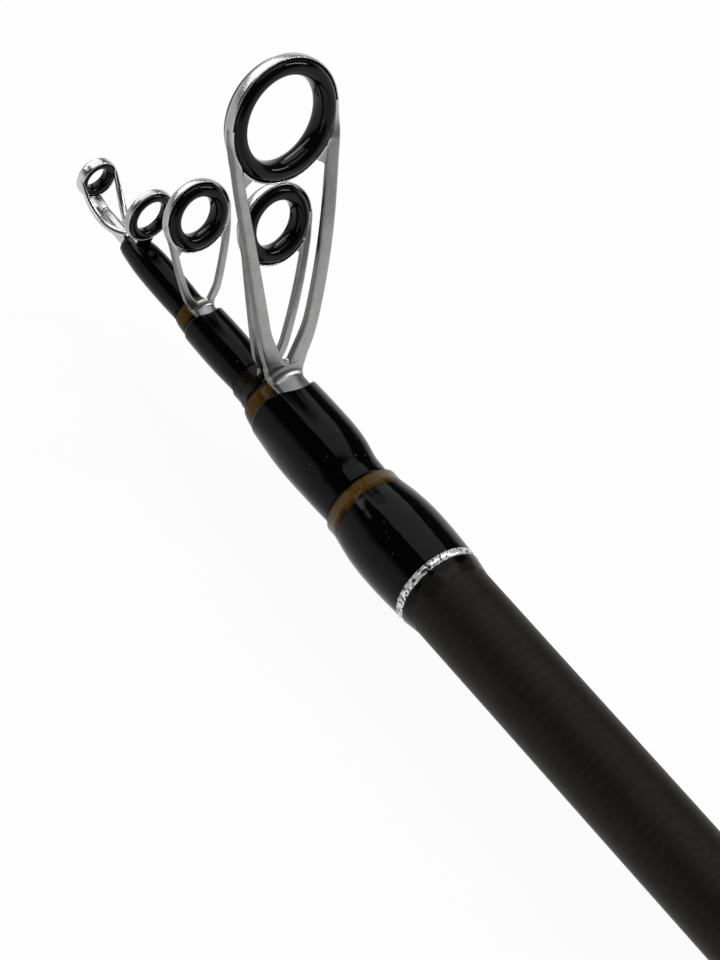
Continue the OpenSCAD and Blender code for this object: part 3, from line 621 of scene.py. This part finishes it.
guides = {  # mm and degrees; pairs run from the bend to the ring, the last number of legY is an outward bow
    "guide_1": {
        "body": "section_2", "open": True, "voxel": 0.135, "way": -1,  # the foot points to the butt
        "underRadius": 6.44, "sheet": 1.2, "footHalf": 3.1, "heelHalf": 4.4, "footLength": 12.0,
        "bendRadius": 2.2, "gapHalf": 0.55, "tuck": 0.6, "ringLean": 19.0, "legLean": 22.3, "legBow": 6.0,
        "legY": (3.45, 10.38, 0.72), "legWidth": (2.65, 1.95), "legTwist": (-3.0, 24.0), "legThick": 1.35,
        "legBack": 2.0, "holderRadius": 10.85, "rim": 0.45, "holderFrom": -1.5, "holderTo": 0.6,
    },
    "guide_2": {
        "body": "floating_guide", "open": True, "voxel": 0.09, "way": -1,
        "underRadius": 4.05, "sheet": 0.95, "footHalf": 2.3, "heelHalf": 2.2, "footLength": 0.8,
        "bendRadius": 1.2, "gapHalf": 0.4, "tuck": 0.8, "ringLean": 19.0, "legLean": 18.3, "legBow": 2.0,
        "legY": (1.95, 6.65, 0.5), "legWidth": (1.75, 1.4), "legTwist": (-3.0, 24.0), "legThick": 0.95,
        "legBack": 1.4, "holderRadius": 7.2, "rim": 0.42, "holderFrom": -1.2, "holderTo": 0.5,
    },
    "guide_3": {
        "body": "section_3", "open": True, "voxel": 0.08, "way": -1,
        "underRadius": 3.24, "sheet": 0.75, "footHalf": 2.0, "heelHalf": 2.9, "footLength": 9.0,
        "bendRadius": 1.2, "gapHalf": 1.0, "tuck": 0.4, "ringLean": 19.0, "legLean": 17.5, "legBow": -1.0,
        "legY": (2.5, 5.9, 0.4), "legWidth": (1.4, 1.15), "legTwist": (-3.0, 22.0), "legThick": 0.8,
        "legBack": 1.2, "holderRadius": 6.4, "rim": 0.4, "holderFrom": -1.05, "holderTo": 0.5,
    },
    "guide_4": {
        "body": "section_4", "open": False, "voxel": 0.07, "way": 1,  # the foot points to the tip
        "underRadius": 2.34, "sheet": 0.6, "footHalf": 1.5, "heelHalf": 1.6, "footLength": 1.5,
        "bendRadius": 0.8, "ringLean": 8.0, "legLean": 8.0, "legBow": 0.0,
        "holderRadius": 4.75, "rim": 0.4, "holderFrom": -0.65, "holderTo": 0.65,
    },
}
sheetSteps = {"foot": 12, "bend": 12, "leg": 24, "ring": 8, "pastRing": 3, "finer": 3}
kneeForm = {"drop": 0.75, "rounds": 14}  # drop below the ring's centre is a share of the holder's radius
legForm = {  # mm, or a share of what the note says
    "flareTo": 0.17, "tuckTo": 0.12,  # of the leg's height
    "stand": 0.1, "lap": 0.1,  # past the holder's outside, and into its bore
    "standEase": 0.25, "meetFrom": 0.5,  # of the bore, above and below the ring's centre
    "flush": 0.05, "flushFrom": 0.7,  # behind the holder, and of its radius
    "backShare": 0.48, "leastWidth": 0.3,  # of the leg's thickness, and mm
}
webForm = {
    "holderDegrees": (-3, -12, -22, -32, -42, -50, -54),  # where it follows the holder
    "reach": 0.96, "legLap": 0.4,  # of the holder's radius, and of the leg's width
    "tip": (0.95, 0.93), "inLeg": ((0.2, 0.98), (0.6, 0.6)),  # its low tip, and two points in the leg
    "thick": 0.7, "back": 0.72,  # of the leg's thickness and set-back
}
guideForm = {
    "gapUp": 0.9, "gapUnder": 0.3,  # of the bend's radius
    "legPast": 0.1, "neckTo": 0.85,  # of the holder's radius
    "neckFrom": 0.2, "bendLap": 0.15,  # of the sheet, and mm
    "heelCurve": 0.7, "holderPower": 2.6, "softRounds": 6,
}


def easedPoint(three):
    return tuple((a + 2 * b + c) / 4 for a, b, c in zip(*three))


# Middle line of the sheet as (place, height, lean), from the foot's end up past the ring's centre
def sheetPath(g, ringX, ringZ):
    n = sheetSteps
    tilt, legTilt, bow = (radians(g[k]) for k in ("ringLean", "legLean", "legBow"))
    low = legTilt - bow
    way = g["way"]
    r = g["bendRadius"]
    pathR = g["underRadius"] + g["sheet"] / 2
    drop = kneeForm["drop"] * g["holderRadius"]
    kneeX = ringX - drop * sin(tilt)
    kneeZ = ringZ - drop * cos(tilt)
    legZ = pathR + r * (1 + way * sin(low))
    legX = kneeX - (kneeZ - legZ) * tan(legTilt)
    bendX = legX + way * r * cos(low)
    flat = radians(-90 if way > 0 else 90)  # lean of the foot as it comes to the bend
    path = []
    for i in range(n["foot"]):
        path.append((bendX + way * g["footLength"] * (1 - i / n["foot"]), pathR, flat))
    for i in range(n["bend"]):
        a = -pi / 2 - way * (pi / 2 + way * low) * i / n["bend"]
        lean = flat + (low - flat) * i / n["bend"]
        path.append((bendX + r * cos(a), pathR + r + r * sin(a), lean))
    first = len(path) + 1
    chord = (kneeZ - legZ) / cos(legTilt)
    for i in range(n["leg"] + 1):
        t = i / n["leg"]
        side = chord * tan(bow) * t * (1 - t)
        x = legX + (kneeX - legX) * t - side * cos(legTilt)
        z = legZ + (kneeZ - legZ) * t + side * sin(legTilt)
        path.append((x, z, legTilt - atan(tan(bow) * (1 - 2 * t))))
    for i in range(1, n["ring"] + n["pastRing"] + 1):
        left = (1 - i / n["ring"]) * drop
        path.append((ringX - left * sin(tilt), ringZ - left * cos(tilt), tilt))
    for turn in range(kneeForm["rounds"]):  # eases the knee below the ring
        path[first:-1] = [easedPoint(path[i - 1:i + 2]) for i in range(first, len(path) - 1)]
    finer = []
    for p, q in zip(path, path[1:]):
        for k in range(n["finer"]):
            finer.append(tuple(a + (b - a) * k / n["finer"] for a, b in zip(p, q)))
    return finer + path[-1:]


# How far a leg's middle is from the guide's middle plane
def legOffset(g, share):
    return between(g["legY"], share) + g["legY"][2] * 4 * share * (1 - share)


# One leg as round-edged sections along the path, flared inward where it leaves the bend
def addLeg(bm, g, path, side, shareAt, heightAt):
    s = legForm
    radius = g["holderRadius"]
    bore = radius - g["rim"]
    loops = []
    for x, z, lean in path:
        share = shareAt(x, z)
        if share is None:
            continue
        twist = radians(between(g["legTwist"], share))
        turned = sin(twist)
        across = Vector((-turned * cos(lean), side * cos(twist), turned * sin(lean)))
        normal = across.cross(Vector((sin(lean), 0, cos(lean))))
        width = between(g["legWidth"], share)
        offset = legOffset(g, share)
        flare = max(0.0, 1 - share / s["flareTo"]) ** 2 * (offset - width / 2 - g["gapHalf"])
        v = heightAt(x, z)
        band = radius + s["stand"] - 2 * s["stand"] * easeIn(v / bore / s["standEase"])
        inner = max(offset - width / 2 - flare, sqrt(max(bore * bore - v * v, 0)) - s["lap"])
        outer = offset + width / 2 - g["tuck"] * max(0.0, 1 - share / s["tuckTo"]) ** 2
        if v > -s["meetFrom"] * bore:
            outer = min(outer, sqrt(band * band - max(v, 0) ** 2))
        flush = -g["holderFrom"] + s["flush"]  # where it meets the ring
        back = between((g["legBack"], flush), easeIn(v / radius / s["flushFrom"] + 1))
        shift = (back - g["legThick"] * s["backShare"]) * sin(clamped(share) * pi / 2)
        middle = Vector((x, side * (inner + outer) / 2, z))
        middle += Vector((-cos(lean), 0, sin(lean))) * shift
        section = stripSection(max(outer - inner, s["leastWidth"]), g["legThick"])
        loops.append([middle + across * a + normal * b for a, b in section])
    loft(bm, loops)


# Foot and bend as one strip that hugs the blank and straightens into the legs
def addFoot(bm, g, path, halfAt):
    across = 14
    edgeStart = 0.35  # thickness left at the strip's edges, as a share
    least = 0.01
    arch = g["underRadius"] + g["sheet"] / 2
    loops = []
    for x, z, lean in path:
        half = halfAt(z)
        upright = clamped((z - g["underRadius"] - g["sheet"] / 2) / g["bendRadius"])
        normal = Vector((cos(lean), 0, -sin(lean)))
        if normal.z < 0:
            normal = -normal
        upper, lower = [], []
        for k in range(across + 1):
            u = -half + 2 * half * k / across
            sag = (arch - sqrt(max(arch * arch - u * u, least))) * (1 - upright)
            middle = Vector((x, u, z - sag))
            edge = min(1.0, (half - abs(u)) / (g["sheet"] * 0.5) + edgeStart)
            upper.append(middle + normal * g["sheet"] / 2 * edge)
            lower.append(middle - normal * g["sheet"] / 2 * edge)
        loops.append(upper + lower[::-1])
    loft(bm, loops)


# Web that fills the corner between a leg and the ring holder
def addWeb(bm, g, side, ringX, ringZ):
    s = webForm
    tilt = radians(g["ringLean"])
    r = g["holderRadius"] - g["rim"] * 0.5
    low = s["reach"] * g["holderRadius"]
    share = 1 - low * cos(tilt) / (ringZ - g["underRadius"] - g["bendRadius"])
    inner = legOffset(g, share) - g["legWidth"][1] * s["legLap"]
    corner = [(r * cos(a), r * sin(a)) for a in map(radians, s["holderDegrees"])]
    corner.append((s["tip"][0] * inner, -s["tip"][1] * low))
    corner += [(inner + out, -down * low) for out, down in s["inLeg"]]
    back = -s["back"] * g["legBack"]
    loops = []
    for off in (back, s["thick"] * g["legThick"] + back):
        loop = []
        for u, v in corner:
            x = ringX + v * sin(tilt) + off * cos(tilt)
            z = ringZ + v * cos(tilt) - off * sin(tilt)
            loop.append(Vector((x, side * u, z)))
        loops.append(loop)
    loft(bm, loops)


def makeGuide(name, g):
    s = guideForm
    centre, ringZ, roll = ringPlace(name + "_ring")
    ringX = centre.x
    turn = Matrix.Rotation(roll, 4, "X")
    path = sheetPath(g, ringX, ringZ)
    tilt = radians(g["ringLean"])
    floorZ = g["underRadius"] + g["sheet"] / 2
    sheetTop = floorZ + g["sheet"] / 2
    gapUp = -(ringZ - floorZ) / cos(tilt) + s["gapUp"] * g["bendRadius"]

    def up(x, z):  # height above the ring's centre, in the ring's plane
        return (x - ringX) * sin(tilt) + (z - ringZ) * cos(tilt)

    def shareAt(x, z):
        v = up(x, z)
        onLeg = gapUp - s["gapUnder"] * g["bendRadius"] <= v <= s["legPast"] * g["holderRadius"]
        return 1 - v / gapUp if onLeg and z >= sheetTop else None

    def halfAt(z):
        share = clamped((z - floorZ) / g["bendRadius"])
        return g["footHalf"] + (g["heelHalf"] - g["footHalf"]) * share ** s["heelCurve"]

    bm = bmesh.new()
    if g["open"]:
        addFoot(bm, g, [p for p in path if up(p[0], p[1]) < gapUp + s["bendLap"] or p[1] < sheetTop], halfAt)
        for side in (-1, 1):
            addLeg(bm, g, path, side, shareAt, up)
            addWeb(bm, g, side, ringX, ringZ)
    else:  # one solid neck, under black epoxy
        addFoot(bm, g, [p for p in path if p[1] < sheetTop], halfAt)
        neckFrom = floorZ + g["sheet"] * s["neckFrom"]
        neckTo = -g["holderRadius"] * s["neckTo"]
        neck = bmesh.new()
        addFoot(neck, g, [p for p in path if p[1] > neckFrom and up(p[0], p[1]) < neckTo], halfAt)
        pointOutwards(neck)
        coated = smoothShade(meshObject(name + "Neck", neck, epoxyBlack, turn=turn))
        finished(coated, g["body"], name + "_frame")
    length = g["holderTo"] - g["holderFrom"]
    profile = roundProfile(length, g["holderRadius"] - g["rim"], g["holderRadius"], s["holderPower"], 28)
    middle = (g["holderFrom"] + g["holderTo"]) / 2
    place = (ringX + middle * cos(tilt), 0, ringZ - middle * sin(tilt))
    turnRing(bm, profile, 128, place, g["ringLean"])
    pointOutwards(bm)
    piece = meshObject(name + "Frame", bm, guideSteel, turn=turn)
    meltTogether(piece, g["voxel"], s["softRounds"])
    axis = turn @ Vector((cos(tilt), 0, -sin(tilt)))
    markPolish(piece, centre * mm, axis, g["holderRadius"] * mm)
    finished(piece, g["body"], name + "_frame")
    makeCeramic(name + "_ring", g["body"], g["ringLean"])
    print(name, "frame", len(piece.data.polygons), "faces")


for name, g in guides.items():
    makeGuide(name, g)

# Tip-top: tube, two sweeping arms, a strut and the ring's holder, brazed together

tipTop = {  # mm and degrees
    "tubeRadius": 1.3, "tubeStart": 626.0, "tubeEnd": 635.0, "tubeChamfer": 0.3, "mouthRadius": 0.9,
    "noseRadius": 0.85, "armRadius": 0.7, "armTaper": 0.6, "armStart": (0.6, 0.5, 0.1),
    "armBend": (3.0, 0.6, -0.6), "armEnd": (0.6, 0.25, 1.0), "strutHalf": 0.65, "strutThick": 0.4,
    "strutFoot": (1.6, 0.2), "strutHead": 0.2, "strutSpread": 0.5, "holderRadius": 3.65, "rim": 0.4,
    "holderLength": 1.7, "holderBack": 0.3, "lean": 4.0, "voxel": 0.08, "softRounds": 5,
}


def addTube(bm, s):
    stations = (
        (s["tubeStart"], s["mouthRadius"]), (s["tubeStart"] + s["tubeChamfer"], s["tubeRadius"]),
        (s["tubeEnd"] - s["tubeChamfer"], s["tubeRadius"]), (s["tubeEnd"], s["noseRadius"]),
    )
    loops = []
    for x, r in stations:
        loops.append([Vector((x, r * cos(a), r * sin(a))) for a in anglesRound(32)])
    loft(bm, loops)


# Round arm from the top of the tube's start, out past the strut and up to the holder's side
def addArm(bm, s, side, ringX, ringZ):
    steps = 18
    alongStart, outStart, upStart = s["armStart"]
    alongBend, outBend, upBend = s["armBend"]
    alongEnd, outEnd, upEnd = s["armEnd"]
    start = Vector((s["tubeStart"] + alongStart, side * outStart, s["tubeRadius"] + upStart))
    bend = Vector((s["tubeEnd"] - alongBend, side * (s["holderRadius"] - outBend), upBend))
    end = Vector((ringX - alongEnd, side * (s["holderRadius"] - outEnd), ringZ + upEnd))
    loops = []
    for i in range(steps + 1):
        t = i / steps
        p = start * (1 - t) ** 2 + bend * 2 * t * (1 - t) + end * t ** 2
        d = ((bend - start) * (1 - t) + (end - bend) * t).normalized()
        u = d.cross(Vector((0, 0, 1))).normalized()
        taper = 1 - s["armTaper"] * t ** 3
        loop = []
        for b in anglesRound(14):
            loop.append(p + (u * cos(b) + d.cross(u) * sin(b)) * s["armRadius"] * taper)
        loops.append(loop)
    loft(bm, loops)


def addStrut(bm, s, ringX, ringZ):
    steps = 6
    foot = Vector((s["tubeEnd"] - s["strutFoot"][0], 0, s["tubeRadius"] - s["strutFoot"][1]))
    head = Vector((ringX - s["strutHead"], 0, ringZ - s["holderRadius"] + s["rim"] / 2))
    loops = []
    for i in range(steps + 1):
        p = foot.lerp(head, i / steps)
        width = 2 * s["strutHalf"] * (1 + s["strutSpread"] * (i / steps) ** 2)
        loops.append([p + Vector((0, u, v)) for u, v in stripSection(width, 2 * s["strutThick"])])
    loft(bm, loops)


def makeTipTop(s):
    centre, ringZ, roll = ringPlace("tip_top_ring")
    bm = bmesh.new()
    bore = s["holderRadius"] - s["rim"]
    profile = roundProfile(s["holderLength"], bore, s["holderRadius"], power=3.0, steps=20)
    turnRing(bm, profile, 96, (centre.x - s["holderBack"], 0, ringZ), s["lean"])
    addTube(bm, s)
    for side in (-1, 1):
        addArm(bm, s, side, centre.x, ringZ)
    addStrut(bm, s, centre.x, ringZ)
    pointOutwards(bm)
    piece = meshObject("tipTopFrame", bm, guideSteel, turn=Matrix.Rotation(roll, 4, "X"))
    meltTogether(piece, s["voxel"], s["softRounds"])
    markPolish(piece, centre * mm, Vector((1, 0, 0)), 3 * s["holderRadius"] * mm)  # the whole tip-top
    finished(piece, "tip_section", "tip_top_frame")
    makeCeramic("tip_top_ring", "tip_section", s["lean"])
    print("tip-top", len(piece.data.polygons), "faces")


makeTipTop(tipTop)

# Wraps: thread barrels under epoxy, swollen over the guides' feet, three with an amber band at the mouth

wraps = {  # mm; bandAt is where the amber band starts, dip how far that line draws back at the foot
    "butt_wrap": {
        "body": "butt_section", "rear": 535.5, "full": 548.5, "bandAt": 556.5, "front": 559.7,
        "rearR": 7.3, "fullR": 8.05, "frontR": 6.55, "core": 7.0, "lift": 0, "dip": 0,
        "band": "butt_mouth_band", "tailTo": 538.6, "guide": None,
    },
    "section_2_wrap": {
        "body": "section_2", "rear": 560.3, "full": 571.5, "bandAt": 582.2, "front": 585.4,
        "rearR": 6.3, "fullR": 6.55, "frontR": 5.0, "core": 4.7, "lift": 1.3, "dip": 2.3,
        "top": 7.99, "footTop": 7.8, "band": "section_2_mouth_band", "guide": "guide_1_ring",
    },
    "section_3_wrap": {
        "body": "section_3", "rear": 590.5, "full": 596.7, "bandAt": 604.5, "front": 607.7,
        "rearR": 3.65, "fullR": 3.75, "frontR": 3.2, "core": 2.9, "lift": 0.3, "dip": 1.2,
        "top": 4.29, "footTop": 4.2, "band": "section_3_mouth_band", "guide": "guide_3_ring",
    },
    "section_4_wrap": {
        "body": "section_4", "rear": 608.3, "full": 613.0, "bandAt": 625.4, "front": 625.4,
        "rearR": 2.85, "fullR": 2.95, "frontR": 2.2, "core": 2.0, "lift": 0.3, "dip": 0,
        "top": 3.24, "footTop": 2.4, "band": None, "guide": "guide_4_ring",
    },
}
wrapForm = {
    "swellStart": 1, "swellMiddle": 0.6,  # mm from the rear, and share of the way to the band
    "swellFall": 1.9, "mostFall": 1.4,  # times the lift, and where the fall stops
    "join": 0.35, "least": 0.01, "dipWidth": 0.55,  # mm, square mm and radians
    "soft": 0.5, "softDrop": 0.45, "tailDrop": 0.14,  # rounding of the ends in mm, share of it, and mm
    "steps": 64, "around": 160,
}


def softMax(a, b, width):
    h = max(width - abs(a - b), 0) / width
    return max(a, b) + h * h * width / 4


def barrelRadius(w, x):
    run = w["full"] - w["rear"] if x < w["full"] else w["front"] - w["full"]
    end = w["rearR"] if x < w["full"] else w["frontR"]
    return w["fullR"] - (w["fullR"] - end) * ((x - w["full"]) / run) ** 2


def swollenRadius(w, x, angle):
    s = wrapForm
    start = w["rear"] + s["swellStart"]
    middle = start + s["swellMiddle"] * (w["bandAt"] - start)
    reach = (x - middle) / ((middle - start) if x < middle else (w["bandAt"] - middle))
    swell = w["top"] - w["lift"] - s["swellFall"] * w["lift"] * min(abs(reach) ** 3, s["mostFall"])
    if x > middle:
        swell = w["top"] - w["lift"] - (w["top"] - w["footTop"]) * reach * reach
    inside = swell * swell - (w["lift"] * sin(angle)) ** 2
    raised = w["lift"] * cos(angle) + sqrt(max(inside, s["least"]))
    return softMax(barrelRadius(w, x), raised, s["join"])


def bandLine(w, angle):
    return w["bandAt"] - w["dip"] * exp(-(angle / wrapForm["dipWidth"]) ** 2)


# Quarter-round rise, from 0 at an end to 1 a full rounding away
def roundedShare(near):
    return sqrt(1 - (1 - near) ** 2)


# Radius of one part of a wrap at a place between its ends, t of the way from x0 to x1
def partRadius(w, part, x, x0, x1, t, angle):
    s = wrapForm
    radius = barrelRadius(w, x)
    if part == "tail":
        return radius - s["tailDrop"] * (1 - t) ** 2
    if part == "thread" and w["lift"]:
        raised = swollenRadius(w, x, angle)
        radius += (raised - radius) * roundedShare(min((x1 - x) / s["soft"], 1))
    openEnds = ([x - x0] if x0 == w["rear"] else []) + ([x1 - x] if x1 == w["front"] else [])
    near = min([d / s["soft"] for d in openEnds] + [1])
    return radius - s["softDrop"] * s["soft"] * (1 - roundedShare(near))


# One part of a wrap between two lines round the rod, as a closed ring with the core's bore
def makeWrapPart(name, node, w, part, material):
    steps = wrapForm["steps"]
    around = wrapForm["around"]
    roll = ringPlace(w["guide"])[2] if w["guide"] else 0.0
    rows = []
    for i in range(steps + 1):
        t = (1 - cos(pi * i / steps)) / 2
        row = []
        for k in range(around):
            a = pi * (2 * k / around - 1)
            x0 = {"thread": w.get("tailTo", w["rear"]), "tail": w["rear"], "band": bandLine(w, a)}[part]
            x1 = {"thread": bandLine(w, a), "tail": w.get("tailTo", 0), "band": w["front"]}[part]
            x = x0 + (x1 - x0) * t
            radius = partRadius(w, part, x, x0, x1, t, a)
            row.append(Vector((x, -radius * sin(a), radius * cos(a))))
        rows.append(row)
    core = w["core"]
    for row in (rows[-1], rows[0]):
        rows.append([Vector((p.x, p.y / p.yz.length * core, p.z / p.yz.length * core)) for p in row])
    bm = bmesh.new()
    loft(bm, rows, closed=True)
    pointOutwards(bm)
    piece = smoothShade(meshObject(name, bm, material, turn=Matrix.Rotation(roll, 4, "X")))
    shares = [i / steps for i in range(steps + 1)] + [1.0, 0.0]  # of the way along, one for each row
    along = piece.data.attributes.new("along", "FLOAT", "POINT")
    along.data.foreach_set("value", [share for share in shares for k in range(around)])
    return finished(piece, w["body"], node)


for node, w in wraps.items():
    name = node.replace("_wrap", "Wrap")
    makeWrapPart(name + "Thread", node, w, "thread", epoxyBlack)
    if "tailTo" in w:
        makeWrapPart(name + "Tail", node, w, "tail", clearTail)
    if w["band"]:
        makeWrapPart(name + "Band", w["band"], w, "band", amberThread)
print("wraps made")

# Silver trim band: two sets of metallised strands laid crosswise over foil, round the wrap

braid = {  # mm; a strand's turn is a share of a full one
    "rear": 538.5, "width": 1.35, "rearRadius": 7.62, "frontRadius": 7.725, "strandRadius": 0.1,
    "strands": 34, "turnOfStrand": 0.05, "foilInner": 7.2, "foilRise": 0.03,
}


def makeBraidTree():
    tree = bpy.data.node_groups.new("crossedStrands", "GeometryNodeTree")
    tree.is_modifier = True
    lengths = (("Rear radius", 0.008), ("Front radius", 0.008), ("Width", 0.002), ("Strand radius", 0.0001))
    sockets = [(label, "NodeSocketFloat", value) for label, value in lengths]
    sockets += [("Strands", "NodeSocketInt", 40), ("Turn of a strand", "NodeSocketFloat", 0.05)]
    for label, kind, value in sockets:
        tree.interface.new_socket(label, in_out="INPUT", socket_type=kind).default_value = value
    tree.interface.new_socket("Finish", in_out="INPUT", socket_type="NodeSocketMaterial")
    tree.interface.new_socket("Geometry", in_out="OUTPUT", socket_type="NodeSocketGeometry")
    given = tree.nodes.new("NodeGroupInput").outputs
    step = mathNode(tree, "DIVIDE", 2 * pi, given["Strands"])
    angle = mathNode(tree, "MULTIPLY", tree.nodes.new("GeometryNodeInputIndex").outputs[0], step)
    spin = addNode(tree, "ShaderNodeCombineXYZ", {"Z": angle}).outputs[0]
    points = addNode(tree, "GeometryNodePoints", {"Count": given["Strands"]}).outputs[0]
    circle = {"Resolution": 8, "Radius": given["Strand radius"]}
    profile = addNode(tree, "GeometryNodeCurvePrimitiveCircle", circle).outputs[0]
    spiral = {
        "Resolution": 24, "Rotations": given["Turn of a strand"], "Start Radius": given["Rear radius"],
        "End Radius": given["Front radius"], "Height": given["Width"],
    }
    join = tree.nodes.new("GeometryNodeJoinGeometry")
    for reverse in (False, True):
        strand = addNode(tree, "GeometryNodeCurveSpiral", {**spiral, "Reverse": reverse}).outputs[0]
        spread = {"Points": points, "Instance": strand, "Rotation": spin}
        laid = addNode(tree, "GeometryNodeInstanceOnPoints", spread).outputs[0]
        single = addNode(tree, "GeometryNodeRealizeInstances", {0: laid}).outputs[0]
        swept = {"Curve": single, "Profile Curve": profile, "Fill Caps": True}
        tree.links.new(addNode(tree, "GeometryNodeCurveToMesh", swept).outputs[0], join.inputs[0])
    alongX = {0: join.outputs[0], "Rotation": (0, pi / 2, 0)}
    alongRod = addNode(tree, "GeometryNodeTransform", alongX).outputs[0]
    solid = addNode(tree, "GeometryNodeRealizeInstances", {0: alongRod}).outputs[0]
    coloured = addNode(tree, "GeometryNodeSetMaterial", {0: solid, "Material": given["Finish"]}).outputs[0]
    tree.links.new(coloured, tree.nodes.new("NodeGroupOutput").inputs[0])
    return tree


def makeBraid(s):
    piece = bpy.data.objects.new("silverTrimBand", bpy.data.meshes.new("silverTrimBand"))
    bpy.context.scene.collection.objects.link(piece)
    modifier = piece.modifiers.new("strands", "NODES")
    modifier.node_group = makeBraidTree()
    values = {
        "Rear radius": s["rearRadius"] * mm, "Front radius": s["frontRadius"] * mm, "Width": s["width"] * mm,
        "Strand radius": s["strandRadius"] * mm, "Strands": s["strands"],
        "Turn of a strand": s["turnOfStrand"], "Finish": silverStrand,
    }
    for item in modifier.node_group.interface.items_tree:
        if item.in_out == "INPUT":
            modifier[item.identifier] = values[item.name]
    applyAll(piece)
    piece.data.transform(Matrix.Translation((s["rear"] * mm, 0, 0)))
    front = s["rear"] + s["width"]
    outside = [(s["rear"], s["rearRadius"] + s["foilRise"]), (front, s["frontRadius"] + s["foilRise"])]
    bm = bmesh.new()
    turnRing(bm, [(s["rear"], s["foilInner"]), *outside, (front, s["foilInner"])], 128)
    foil = smoothShade(meshObject("silverTrimFoil", bm, creasedFoil))
    finished(foil, "butt_section", "silver_trim_band")
    finished(piece, "butt_section", "silver_trim_band")
    print("trim band", len(piece.data.polygons), "faces")


makeBraid(braid)

# Studio: pale floor under the rod, white to the camera, with large soft lights

studio = {  # m
    "floorSize": 12.0, "floorGap": 0.0005, "floorTone": (0.86, 0.86, 0.86), "whiteShare": 0.94,
    "lights": [  # name, place, aims at, size, watts
        ("overPanel", (1.2, -0.15, 1.05), (0.59, 0.0, 0.02), (1.3, 1.8), 12.0),
        ("keyStrip", (0.2, -1.1, 1.1), (0.59, 0.0, 0.03), (0.25, 0.9), 8.0),
        ("frontStrip", (1.9, 0.13, 0.75), (0.6, 0.0, 0.03), (1.8, 0.22), 6.5),
        ("sideStrip", (0.0, 1.5, 0.5), (0.59, 0.0, 0.03), (0.2, 0.8), 1.5),
    ],
    "worldHorizon": 0.9, "worldTop": 0.06, "worldRise": (0.02, 0.3),
}


def makeFloor(s):
    place = Matrix.Translation((0, 0, cadBox[0].z - s["floorGap"]))
    bm = bmesh.new()
    bmesh.ops.create_grid(bm, x_segments=2, y_segments=2, size=s["floorSize"], matrix=place)
    material = bpy.data.materials.new("paleFloor")
    material.use_nodes = True
    tree = material.node_tree
    tree.nodes.clear()
    ray = addNode(tree, "ShaderNodeLightPath").outputs
    seen = mathNode(tree, "MAXIMUM", ray["Is Camera Ray"], ray["Is Glossy Ray"])
    seen = mathNode(tree, "MAXIMUM", seen, ray["Is Transmission Ray"])
    paint = addNode(tree, "ShaderNodeBsdfDiffuse", {"Color": (*s["floorTone"], 1)}).outputs[0]
    white = addNode(tree, "ShaderNodeEmission", {"Color": (1, 1, 1, 1), "Strength": 1.0}).outputs[0]
    share = mathNode(tree, "MULTIPLY", seen, s["whiteShare"])
    mixed = addNode(tree, "ShaderNodeMixShader", {0: share, 1: paint, 2: white}).outputs[0]
    tree.links.new(mixed, tree.nodes.new("ShaderNodeOutputMaterial").inputs["Surface"])
    meshObject("paleFloor", bm, material, scale=1.0)


def makeLights(s):
    for name, place, target, size, watts in s["lights"]:
        data = bpy.data.lights.new(name, "AREA")
        data.shape = "RECTANGLE"
        data.size, data.size_y = size
        data.energy = watts
        lamp = bpy.data.objects.new(name, data)
        lamp.location = place
        lamp.rotation_mode = "QUATERNION"
        lamp.rotation_quaternion = (Vector(target) - Vector(place)).to_track_quat("-Z", "Y")
        bpy.context.scene.collection.objects.link(lamp)


def makeWorld(s):
    world = bpy.data.worlds.new("studioWorld")
    world.use_nodes = True
    tree = world.node_tree
    tree.nodes.clear()
    way = addNode(tree, "ShaderNodeTexCoord").outputs["Generated"]
    height = addNode(tree, "ShaderNodeSeparateXYZ", {0: way}).outputs["Z"]
    rise = {"Value": height, "From Min": s["worldRise"][0], "From Max": s["worldRise"][1]}
    rise.update({"To Min": s["worldHorizon"], "To Max": s["worldTop"]})
    level = addNode(tree, "ShaderNodeMapRange", rise, interpolation_type="SMOOTHSTEP").outputs["Result"]
    sky = addNode(tree, "ShaderNodeBackground", {"Color": (1, 1, 1, 1), "Strength": level}).outputs[0]
    tree.links.new(sky, tree.nodes.new("ShaderNodeOutputWorld").inputs["Surface"])
    bpy.context.scene.world = world


makeFloor(studio)
makeLights(studio)
makeWorld(studio)
bpy.context.scene.view_settings.view_transform = "Standard"
print("studio made")
